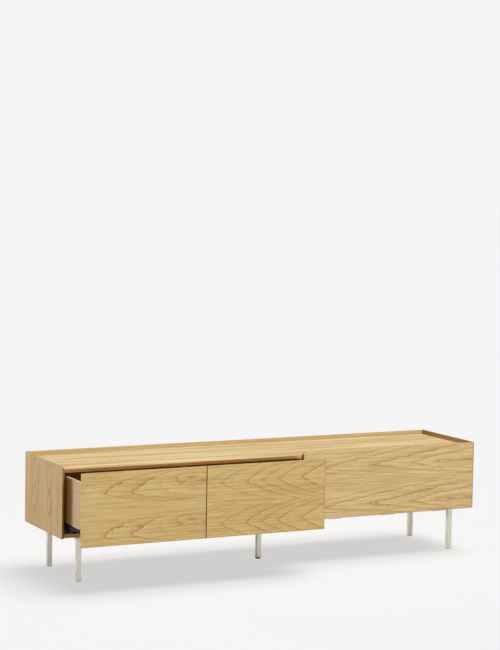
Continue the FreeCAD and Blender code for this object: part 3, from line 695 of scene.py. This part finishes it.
# the top and bottom boards' edges take the lipping that is painted paler against their shade
board("top_board", "top_panel", "Z", (TOP_OAK, LIPPING_PAINTED_LIGHTER["X"]),
      shape=rebated_plank(*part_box("top_panel")))
board("bottom_board", "bottom_panel", "Z", (BOTTOM_OAK, LIPPING_PAINTED_LIGHTER["X"]))
for side, inner in (("left", "X+"), ("right", "X-")):
    node = side + "_side_panel"
    mitres = (((inner, "Y-"), "Y"), ((inner, "Y+"), "Y"), ((inner, "Z+"), "Z"))
    oak = veneer(side + "_side_oak", node, "X", "Z", UPRIGHT, **SIDE_TONES)
    board(side + "_side_board", node, "X", (oak, LIPPING["Z"], END_GRAIN["Y"]), mitres, along="Z")
    node = side + "_partition"
    board(node + "_board", node, "X", (veneer(node + "_oak", node, "X", "Z", UPRIGHT), LIPPING["Z"]))
print("casing boards with", len(bpy.data.materials), "finishes so far")

# %% [markdown]
# Each drawer is a plain box: two sides, a box front that the oak front is screwed to, a back
# and a thin bottom. The boards are thinner than the casing's, and each one's grain runs along
# its own length. The sides are browner than the box front and the bottom. The back, which
# stays in the casing, is painted darkest, a painted shade for the dark inside of the casing.

# %% Drawer boxes
DRAWERS = ("left_drawer", "middle_drawer")
BOX_BOARDS = (
    ("left_side", "X", "Y", BOX_SIDE),
    ("right_side", "X", "Y", BOX_SIDE),
    ("box_front", "Y", "X", BOX_WOOD),
    # the back takes the painted shade
    ("back", "Y", "X", BOX_BACK_PAINTED_SHADE),
    ("bottom", "Z", "X", BOX_WOOD),
)
for drawer in DRAWERS:
    for part, thickness, along, wood in BOX_BOARDS:
        node = drawer + "_" + part
        # every drawer board's edges take the painted highlight
        board(node + "_board", node, thickness, (wood[along], BOX_EDGE_PAINTED_HIGHLIGHT[along]))
print("drawer box boards", len(DRAWERS) * len(BOX_BOARDS))

# %% [markdown]
# The legs are powder-coated steel. The powder melts into a skin with a faint orange-peel
# ripple about a millimetre wide, so the bump is a fine noise. Larger clouds change the cream a
# little, and the last few centimetres above the floor have the greyer look of scuffed paint.

# %% Leg paint
CREAM = tone(226, 221, 203)
CREAM_SHADE = tone(214, 207, 188)
SCUFF = tone(150, 144, 132)
SCUFF_FOOT = 4.0 * MM
SCUFF_TOP = 35.0 * MM


def cream_paint(place):
    height = place.node("SeparateXYZ", {"Vector": place}).out("Z")
    peel = speckle(place, even(800.0), 1.0)
    cloud = speckle(place, (30.0, 30.0, 9.0), 3.0)
    near_floor = 1.0 - between(height, SCUFF_FOOT, SCUFF_TOP)
    scuffed = between(speckle(place, (160.0, 160.0, 60.0), 3.0), 0.5, 0.75) * near_floor
    clouded = blend(between(cloud, 0.3, 0.7), CREAM, CREAM_SHADE)
    return {
        "Base Color": blend(scuffed * 0.5, clouded, SCUFF),
        "Roughness": 0.42 + 0.12 * peel + 0.2 * scuffed,
        "Normal": relief(peel, 0.12),
    }


LEG_PAINT = finish("leg_paint", cream_paint, Specular_IOR_Level=0.4)
print("paint", LEG_PAINT.name)

# %% [markdown]
# A corner leg is square tube. It starts as a plank whose two end faces are taken off, its four
# upright edges are rounded, and solidify then gives the open shell its wall.

# %% Corner legs
TUBE_ROUND = 1.6 * MM
TUBE_WALL = 1.5 * MM
ROUND_FACETS = 4
STANDING = 0.5 * MM
CORNERS = ("front_left", "front_right", "back_left", "back_right")


def upright(edge):
    return abs(edge.verts[0].co.z - edge.verts[1].co.z) > STANDING


def round_uprights(shape):
    ease(shape, TUBE_ROUND, [edge for edge in shape.edges if upright(edge)], ROUND_FACETS)


def square_tube(low, high):
    shape = plank(low, high)
    ends = [face for face in shape.faces if abs(face.normal.z) > FACING]
    bmesh.ops.delete(shape, geom=ends, context="FACES_ONLY")
    round_uprights(shape)
    bmesh.ops.solidify(shape, geom=shape.faces[:], thickness=TUBE_WALL)
    return shape


for corner in CORNERS:
    node = corner + "_leg"
    make_piece(node + "_tube", square_tube(*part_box(node)), node, [LEG_PAINT])
print("corner legs", len(CORNERS))

# %% [markdown]
# The centre leg, its collar and its black pad are turned pieces. Half of the section is drawn
# as a closed line of points, radius and height in millimetres, and spin takes it round the Z
# axis. Doubles are merged before the normals are recalculated, so that the faces all look
# outwards. Faces that meet at a small angle are shaded as one round surface.

# %% Turned pieces
TURNED_STEPS = 48
TURNED_ROUND = 40
SAME_POINT = 0.001 * MM
NO_LENGTH = 0.0001 * MM
LEG_RADIUS = 13.0
LEG_WALL = 1.5
LEG_CHAMFER = 0.5
COLLAR_BORE = 5.0
COLLAR_RADIUS = 14.0
COLLAR_GROOVE = COLLAR_RADIUS - 0.5


def half_section(shape, points, closed):
    """A line through (radius, height) points in millimetres."""
    verts = [shape.verts.new((radius * MM, 0, height * MM)) for radius, height in points]
    following = verts[1:] + verts[:1] if closed else verts[1:]
    return verts + [shape.edges.new(pair) for pair in zip(verts, following)]


def turned(points, steps=TURNED_STEPS):
    """A closed section, spun about Z."""
    shape = bmesh.new()
    bmesh.ops.spin(shape, geom=half_section(shape, points, True), cent=(0, 0, 0), axis=(0, 0, 1),
                   angle=math.tau, steps=steps, use_merge=True)
    bmesh.ops.remove_doubles(shape, verts=shape.verts, dist=SAME_POINT)
    bmesh.ops.dissolve_degenerate(shape, edges=shape.edges, dist=NO_LENGTH)
    bmesh.ops.recalc_face_normals(shape, faces=shape.faces)
    return shape


def heights(node):
    low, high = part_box(node)
    return low.z / MM, high.z / MM


foot, top = heights("centre_leg")
tube = [(LEG_RADIUS - LEG_WALL, foot), (LEG_RADIUS - LEG_CHAMFER, foot),
        (LEG_RADIUS, foot + LEG_CHAMFER), (LEG_RADIUS, top), (LEG_RADIUS - LEG_WALL, top)]
make_piece("centre_leg_tube", turned(tube), "centre_leg", [LEG_PAINT], TURNED_ROUND)
foot, top = heights("foot_collar")
collar = [(COLLAR_BORE, foot), (10.6, foot), (11.4, foot + 0.4), (13.6, foot + 2.6),
          (COLLAR_RADIUS, foot + 3.4), (COLLAR_RADIUS, top - 4.2), (COLLAR_GROOVE, top - 3.8),
          (COLLAR_GROOVE, top - 3.0), (COLLAR_RADIUS, top - 2.6), (COLLAR_RADIUS, top - 0.5),
          (COLLAR_GROOVE, top), (COLLAR_BORE, top)]
make_piece("foot_collar_ring", turned(collar), "foot_collar", [LEG_PAINT], TURNED_ROUND)
print("centre leg and collar turned in", TURNED_STEPS, "steps")

# %% [markdown]
# The pad under the collar is black rubber, dull and slightly mottled, with fine moulding
# ripples. It is a turned section too, with a rounded lower rim.

# %% Foot pad
RUBBER_BLACK = tone(14, 13, 11)
RUBBER_GREY = tone(28, 26, 23)
PAD_RADIUS = 11.0


def rubber_look(place):
    mottle = speckle(place, even(300.0), 3.0)
    ripple = speckle(place, (90.0, 90.0, 1400.0), 1.0)
    return {
        "Base Color": blend(between(mottle, 0.4, 0.75), RUBBER_BLACK, RUBBER_GREY),
        "Roughness": 0.7 + 0.2 * mottle,
        "Normal": relief(ripple, 0.2),
    }


RUBBER = finish("foot_rubber", rubber_look, Specular_IOR_Level=0.1)
foot, top = heights("foot_pad")
pad = [(0, foot), (8.8, foot), (9.6, foot + 0.2), (10.6, foot + 1.1),
       (PAD_RADIUS, foot + 2.0), (PAD_RADIUS, top), (0, top)]
make_piece("foot_pad_disc", turned(pad), "foot_pad", [RUBBER], TURNED_ROUND)
print("pad", round(top - foot, 1), "mm high")

# %% [markdown]
# Hidden steel is zinc plated: bright, a little cloudy, with fine crystals that change its
# shine from place to place and short rubbing marks. The drawer runners are coated black, and
# the carriages that slide in them rub long thin lines of bare steel along their length.

# %% Steel
ZINC_LIGHT = tone(206, 208, 210)
ZINC_DULL = tone(168, 170, 172)
COAT_BLACK = tone(18, 17, 16)
COAT_GREY = tone(34, 32, 30)
BARE_STEEL = tone(110, 108, 104)


def zinc_look(place):
    cloud = speckle(place, even(70.0), 4.0)
    crystal = speckle(place, even(900.0), 2.0)
    rubbed = between(speckle(place, (1200.0, 60.0, 1200.0), 1.0), 0.6, 0.7)
    return {
        "Base Color": blend(between(cloud, 0.35, 0.7), ZINC_LIGHT, ZINC_DULL),
        "Roughness": 0.26 + 0.2 * crystal + 0.12 * rubbed,
        "Normal": relief(crystal - rubbed * 0.5, 0.1, SKIN_DEPTH),
    }


def runner_look(place):
    cloud = speckle(place, even(60.0), 3.0)
    grit = speckle(place, even(1500.0), 1.0)
    rubbed = between(speckle(place, (700.0, 5.0, 700.0), 2.0), 0.66, 0.74)
    coat = blend(between(cloud, 0.4, 0.7), COAT_BLACK, COAT_GREY)
    return {
        "Base Color": blend(rubbed * 0.5, coat, BARE_STEEL),
        "Metallic": rubbed * 0.6,
        "Roughness": 0.7 + 0.15 * grit - 0.12 * rubbed,
        "Normal": relief(grit, 0.15, SKIN_DEPTH),
    }


ZINC = finish("zinc_steel", zinc_look, Metallic=1.0)
RUNNER_STEEL = finish("runner_steel", runner_look, Specular_IOR_Level=0.02)
print("steel", ZINC.name, RUNNER_STEEL.name)

# %% [markdown]
# Pressed steel pieces keep the shape that was drawn for them. A copy of a node's surface is
# merged, its flat triangles are dissolved into whole faces, and every sharp edge is broken by
# a few tenths of a millimetre, as a press and a tumbling drum leave it.

# %% Pieces that keep their drawn shape
SHARP = math.radians(30)
FLAT = math.radians(0.5)
DRAWN_POINT = 0.004 * MM
CHANNEL_EDGE = 0.3 * MM
FITTING_EDGE = 0.2 * MM
PLATE_EDGE = 0.4 * MM


def merged_copy(node):
    """A node's loose triangles, joined where they meet."""
    shape = bmesh.new()
    shape.from_mesh(NODES[node].data)
    bmesh.ops.remove_doubles(shape, verts=shape.verts, dist=DRAWN_POINT)
    return shape


def pressed_piece(name, node, width, coat, slant_coat=None):
    """A piece in a node's place; faces at a slant can have a coat of their own."""
    shape = merged_copy(node)
    bmesh.ops.dissolve_limit(shape, angle_limit=FLAT, verts=shape.verts, edges=shape.edges)
    for face in shape.faces:
        face.material_index = 1 if slant_coat and max(map(abs, face.normal)) < FACING else 0
    sharp = [edge for edge in shape.edges if edge.is_manifold and edge.calc_face_angle() > SHARP]
    ease(shape, width, sharp)
    made = make_piece(name, shape, node, [coat, slant_coat] if slant_coat else [coat])
    old_normals = made.data.attributes.get("custom_normal")
    if old_normals:
        made.data.attributes.remove(old_normals)
    return made


RUNNERS = ["_".join((drawer, side, member)) for drawer in DRAWERS
           for side in ("left", "right") for member in ("rail", "carriage", "slide")]
for node in RUNNERS:
    pressed_piece(node + "_channel", node, CHANNEL_EDGE, RUNNER_STEEL)
FITTINGS = ("hinge_casing_leaves", "hinge_flap_leaves", "hinge_pins", "left_stay_arm", "right_stay_arm",
            "stay_brackets", "stay_studs", "centre_leg_nut", "strike_plate")
for node in FITTINGS:
    pressed_piece(node + "_zinc", node, FITTING_EDGE, ZINC)
pressed_piece("leg_plates_painted", "leg_plates", PLATE_EDGE, LEG_PAINT)
print("runner members", len(RUNNERS), "fittings", len(FITTINGS))

# %% [markdown]
# Screws come in many copies, so their places are read from the frame instead of being written
# again. A node that holds several solids is merged and walked from vertex to vertex, which
# gives the points of each solid, and from these its box.

# %% Solids of a node
def solids_of(node):
    """For each separate solid of a node: lowest corner, highest corner and points."""
    loose = merged_copy(node)
    loose.verts.index_update()
    waiting = {vert.index: vert for vert in loose.verts}
    found = []
    while waiting:
        edge_of_walk = [waiting.pop(min(waiting))]
        points = []
        while edge_of_walk:
            vert = edge_of_walk.pop()
            points.append(vert.co.copy())
            for edge in vert.link_edges:
                other = edge.other_vert(vert)
                if waiting.pop(other.index, None):
                    edge_of_walk.append(other)
        found.append((Vector(map(min, zip(*points))), Vector(map(max, zip(*points))), points))
    loose.free()
    return found


def gathered(shapes):
    """Many small shapes as one."""
    together = bmesh.new()
    for shape in shapes:
        passing = bpy.data.meshes.new("passing")
        shape.to_mesh(passing)
        shape.free()
        together.from_mesh(passing)
        bpy.data.meshes.remove(passing)
    return together


def for_each_solid(node, maker):
    """What a function makes of each solid's box, as one shape."""
    return gathered([maker(low, high) for low, high, points in solids_of(node)])


def placed(shape, place, direction):
    """Turns a shape's Z axis to a direction and moves its origin to a place."""
    turn = Vector(direction).to_track_quat("Z", "Y").to_matrix().to_4x4()
    bmesh.ops.transform(shape, matrix=Matrix.Translation(place) @ turn, verts=shape.verts)
    return shape


print("leg screws", len(solids_of("leg_screws")))

# %% [markdown]
# A screw is turned like the legs, with a domed head or a flat sunk one. The cross in its head
# is cut by hand: planes mark the cross on the head's top, the faces inside it are extruded
# downwards, and the old faces are taken off.

# %% Screws
SCREW_STEPS = 16
SCREW_ROUND = 35
SHANK = 1.75
HEAD = 3.5
POINT = 2.5
POINT_RADIUS = 0.3
SUNK_HEAD = [(0, 0), (2.6, 0), (3.3, 0), (HEAD, -0.25), (SHANK, -1.7)]
DOMED_HEAD = [(0, 0), (2.1, 0), (2.9, -0.4), (3.4, -1.1), (HEAD, -1.8), (HEAD, -2.0), (SHANK, -2.0)]
LOOKS_UP = 0.5
CROSS_WIDTH = 0.9
CROSS_REACH = 1.9
CROSS_DEPTH = 1.1


def cut_cross(shape):
    """Sinks a cross into the top of a screw's head."""
    for axis in ((1, 0, 0), (0, 1, 0)):
        for place in (-CROSS_REACH, -CROSS_WIDTH / 2, CROSS_WIDTH / 2, CROSS_REACH):
            crown = [face for face in shape.faces if face.normal.z > LOOKS_UP]
            parts = {part for face in crown for part in (face, *face.edges, *face.verts)}
            in_order = sorted(parts, key=lambda part: (type(part).__name__, part.index))
            bmesh.ops.bisect_plane(shape, geom=in_order, plane_co=Vector(axis) * place * MM, plane_no=axis)
    inside = []
    for face in shape.faces:
        narrow, wide = sorted(map(abs, face.calc_center_median().xy / MM))
        if face.normal.z > LOOKS_UP and narrow < CROSS_WIDTH / 2 and wide < CROSS_REACH:
            inside.append(face)
    pull(shape, inside, (0, 0, -CROSS_DEPTH * MM))
    bmesh.ops.delete(shape, geom=inside, context="FACES")


def screw(length, sunk_head):
    """A screw along Z, its head's top at 0 and its point below."""
    shank = [(SHANK, POINT - length), (POINT_RADIUS, -length), (0, -length)]
    shape = turned((SUNK_HEAD if sunk_head else DOMED_HEAD) + shank, SCREW_STEPS)
    cut_cross(shape)
    return shape


def longest_axis(size):
    return max(range(3), key=lambda number: size[number])


def along_axis(axis, sign=1):
    return [sign if number == axis else 0 for number in range(3)]


print("screw heads of", 2 * HEAD, "mm")

# %% [markdown]
# The frame's plain screws tell where the real ones go. Points that lie far from a solid's axis
# belong to a head, so the end where they stand is the head's, and a head that keeps its full
# width for a millimetre or more is a domed one. A solid with two heads is a pair of screws.

# %% Screws in their places
RIM_SHARE = 0.9
END_SLACK = 0.3 * MM
DOME_BAND = (1.0 * MM, 3.0 * MM)
SCREW_NODES = ("leg_screws", "fitting_screws", "flap_screws",
               "left_drawer_front_screws", "middle_drawer_front_screws")


def screws_of(node):
    """A screw for each head that the frame draws."""
    shapes = []
    for low, high, points in solids_of(node):
        size = high - low
        axis = longest_axis(size)
        middle = (low + high) / 2
        others = [number for number in range(3) if number != axis]
        rim = [p for p in points
               if math.hypot(*(p[n] - middle[n] for n in others)) > RIM_SHARE * HEAD * MM]
        ends = [(sign, place[axis]) for sign, place in ((-1, low), (1, high))
                if any(abs(p[axis] - place[axis]) < END_SLACK for p in rim)]
        for sign, level in ends:
            domed = any(DOME_BAND[0] < abs(p[axis] - level) < DOME_BAND[1] for p in rim)
            start = middle.copy()
            start[axis] = level
            made = screw(size[axis] / MM / len(ends), not domed)
            shapes.append(placed(made, start, along_axis(axis, sign)))
    return shapes


for node in SCREW_NODES:
    shapes = screws_of(node)
    made = make_piece(node + "_cross_head", gathered(shapes), node, [ZINC], SCREW_ROUND)
    print(node, len(shapes), "heads", len(made.data.polygons), "faces")

# %% [markdown]
# The levelling foot turns on a threaded stud. A thread is a small roof-shaped section that
# climbs while it goes round: spin does both, with a step upwards at every step of the turn.

# %% Threaded stud
PITCH = 1.5
STEPS_PER_TURN = 20
PLAIN_TURNS = 2
THREAD_ROOT = 4.25
THREAD_CREST = 5.0
THREAD_ROUND = 20
STUD_CHAMFER = 0.8

foot, top = heights("foot_stud")
stud = [(0, foot), (THREAD_ROOT, foot), (THREAD_ROOT, top - STUD_CHAMFER),
        (THREAD_ROOT - STUD_CHAMFER, top), (0, top)]
core = turned(stud, STEPS_PER_TURN)
ridge = bmesh.new()
roof = [(THREAD_ROOT, foot), (THREAD_CREST, foot + PITCH / 2), (THREAD_ROOT, foot + PITCH)]
turns = int((top - foot) / PITCH) - PLAIN_TURNS
bmesh.ops.spin(ridge, geom=half_section(ridge, roof, False), cent=(0, 0, 0), axis=(0, 0, 1),
               angle=math.tau * turns, dvec=(0, 0, PITCH * MM / STEPS_PER_TURN),
               steps=STEPS_PER_TURN * turns)
bmesh.ops.remove_doubles(ridge, verts=ridge.verts, dist=SAME_POINT)
bmesh.ops.recalc_face_normals(ridge, faces=ridge.faces)
make_piece("foot_stud_thread", gathered([core, ridge]), "foot_stud", [ZINC], THREAD_ROUND)
print("thread of", turns, "turns")

# %% [markdown]
# Moulded plastic has no grain, only the fine frosted skin of its mould and patches that are
# rubbed a little shinier. One painter makes the black grommet and catch, the stone-grey glides
# under the legs and the clear soft bumpers, with their own colours and roughness.

# %% Plastics
def plastic_look(light, dark, rough, skin):
    """The painter of a moulded piece; skin is the number of frost cells in a metre."""
    def paint(place):
        frost = speckle(place, even(skin), 2.0)
        cloud = speckle(place, even(45.0), 3.0)
        polish = between(cloud, 0.5, 0.75)
        return {
            "Base Color": blend(between(cloud * 0.6 + frost * 0.4, 0.35, 0.65), dark, light),
            "Roughness": rough + 0.15 * frost - 0.12 * polish,
            "Normal": relief(frost, 0.15, SKIN_DEPTH),
        }
    return paint


DARK_PLASTIC = finish("dark_plastic", plastic_look(tone(46, 46, 46), tone(34, 34, 35), 0.5, 1300.0))
GLIDE_PLASTIC = finish("glide_plastic", plastic_look(tone(206, 200, 184), tone(190, 183, 166), 0.5, 1300.0))
BUMPER = finish("bumper_rubber", plastic_look(tone(214, 212, 204), tone(196, 194, 186), 0.3, 700.0))
print("plastics", DARK_PLASTIC.name, GLIDE_PLASTIC.name, BUMPER.name)

# %% [markdown]
# A glide is a square foot with a plug that is pressed into the tube. The foot is a plank with
# rounded corners. Its top face is inset by a little more than the tube's wall, and the inner
# part is pulled up.

# %% Glides
GLIDE_FOOT = 4.0 * MM
GLIDE_EDGE = 0.6 * MM
PLUG_INSET = 1.7 * MM
TOUCHING = 0.1 * MM


def glide(low, high):
    shape = plank(low, Vector((high.x, high.y, low.z + GLIDE_FOOT)))
    round_uprights(shape)
    bottom = [edge for edge in shape.edges
              if all(vert.co.z < low.z + TOUCHING for vert in edge.verts)]
    ease(shape, GLIDE_EDGE, bottom)
    crown = max(shape.faces, key=lambda face: (round(face.normal.z, 3), face.calc_area()))
    bmesh.ops.inset_region(shape, faces=[crown], thickness=PLUG_INSET, use_even_offset=True)
    pull(shape, [crown], (0, 0, high.z - low.z - GLIDE_FOOT))
    bmesh.ops.delete(shape, geom=[crown], context="FACES")
    return shape


glides = for_each_solid("leg_glides", glide)
made = make_piece("leg_glides_moulded", glides, "leg_glides", [GLIDE_PLASTIC])
print("glides with", len(made.data.polygons), "faces")

# %% [markdown]
# Soft domed bumpers on the casing's lower front edge keep the fronts from knocking. A flanged
# ring lines the cable hole in the back. Both are turned about Z and then laid over, the
# bumpers towards the front and the ring towards the back.

# %% Bumpers and cable ring
BUMPER_STEPS = 20
BUMPER_DOME = ((0, 1), (0.4, 0.95), (0.72, 0.78), (0.93, 0.48), (1, 0.15), (1, 0), (0, 0))
RING_BORE = 27.0
RING_SLEEVE = 30.0
RING_FLANGE = 36.0
RING_CHAMFER = 0.8
FLANGE_THICK = 2.0


def bumper(low, high):
    """A dome whose section is given in shares of its radius and height."""
    radius = (high.x - low.x) / 2 / MM
    tall = (high.y - low.y) / MM
    dome = [(across * radius, up * tall) for across, up in BUMPER_DOME]
    middle = (low + high) / 2
    return placed(turned(dome, BUMPER_STEPS), Vector((middle.x, high.y, middle.z)), (0, -1, 0))


bumpers = for_each_solid("front_bumpers", bumper)
make_piece("front_bumpers_domed", bumpers, "front_bumpers", [BUMPER], TURNED_ROUND)

low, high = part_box("cable_grommet")
deep = (high.y - low.y) / MM
ring = [(RING_BORE, RING_CHAMFER), (RING_BORE + RING_CHAMFER, 0), (RING_FLANGE - 0.9, 0),
        (RING_FLANGE - 0.2, 0.4), (RING_FLANGE, 1.1), (RING_FLANGE, FLANGE_THICK),
        (RING_SLEEVE, FLANGE_THICK), (RING_SLEEVE, deep), (RING_BORE, deep)]
middle = (low + high) / 2
shape = placed(turned(ring), Vector((middle.x, low.y, middle.z)), (0, 1, 0))
make_piece("cable_ring", shape, "cable_grommet", [DARK_PLASTIC], TURNED_ROUND)
print("bumpers and a ring of", 2 * RING_BORE, "mm bore")

# %% [markdown]
# The magnetic catch that holds the flap shut is a small plastic case with two steel poles that
# stand just proud of it. All three are eased planks, set in the place of one node.

# %% Magnetic catch
POLE_PROUD = 0.8 * MM
POLE_THICK = 1.6 * MM
POLE_SPREAD = 2.6 * MM
POLE_SHORTER = 4.0 * MM
POLE_EDGE = 0.2 * MM
CASE_EDGE = 0.9 * MM

low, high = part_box("magnetic_catch")
case = plank(low + Vector((0, POLE_PROUD, 0)), high)
ease(case, CASE_EDGE)
make_piece("catch_case", case, "magnetic_catch", [DARK_PLASTIC])
poles = []
for side in (-1, 1):
    level = (low.z + high.z) / 2 + side * POLE_SPREAD
    pole = plank(Vector((low.x + POLE_SHORTER, low.y, level - POLE_THICK / 2)),
                 Vector((high.x - POLE_SHORTER, high.y - POLE_SHORTER, level + POLE_THICK / 2)))
    ease(pole, POLE_EDGE)
    poles.append(pole)
make_piece("catch_poles", gathered(poles), "magnetic_catch", [ZINC])
print("catch with", len(poles), "poles")

# %% [markdown]
# Beech dowels hold the casing together inside its joints. Beech is pale pink-brown with short
# dark flecks. Each dowel is turned with chamfered ends, along its solid's longest side.

# %% Dowels
BEECH_LIGHT = tone(214, 176, 132)
BEECH_DARK = tone(196, 152, 108)
BEECH_FLECK = tone(150, 104, 66)
DOWEL_CHAMFER = 1.0
DOWEL_STEPS = 16


def beech_look(place):
    flecks = between(speckle(place, even(500.0), 1.0), 0.6, 0.7)
    streak = speckle(place, (60.0, 300.0, 60.0), 3.0)
    grain = blend(between(streak, 0.3, 0.7), BEECH_LIGHT, BEECH_DARK)
    return {
        "Base Color": blend(flecks * 0.5, grain, BEECH_FLECK),
        "Roughness": 0.6 + 0.1 * streak,
        "Normal": relief(streak, 0.15),
    }


def dowel(low, high):
    size = (high - low) / MM
    axis = longest_axis(size)
    radius = min(size) / 2
    length = size[axis]
    side = [(0, 0), (radius - DOWEL_CHAMFER, 0), (radius, DOWEL_CHAMFER),
            (radius, length - DOWEL_CHAMFER), (radius - DOWEL_CHAMFER, length), (0, length)]
    start = (low + high) / 2
    start[axis] = low[axis]
    return placed(turned(side, DOWEL_STEPS), start, along_axis(axis))


dowels = for_each_solid("casing_dowels", dowel)
BEECH = finish("beech", beech_look, Specular_IOR_Level=0.2)
made = make_piece("casing_dowels_turned", dowels, "casing_dowels", [BEECH], TURNED_ROUND)
print("dowels with", len(made.data.polygons), "faces")

# %% [markdown]
# The back panel closes the casing and has a round hole for cables. It is the one board with a
# hole, so it too keeps its drawn shape, with straight-grained oak on both faces and a coat of
# its own on the slant of its mitres.

# %% Back panel
BACK_HEART = 0.3
BACK_OAK = veneer("back_oak", "back_panel", "Y", "X", dict(STRAIGHT, heart=BACK_HEART))
back = pressed_piece("back_board", "back_panel", EASE, BACK_OAK, MITRE["X"])
print("back panel with", len(back.data.polygons), "faces")
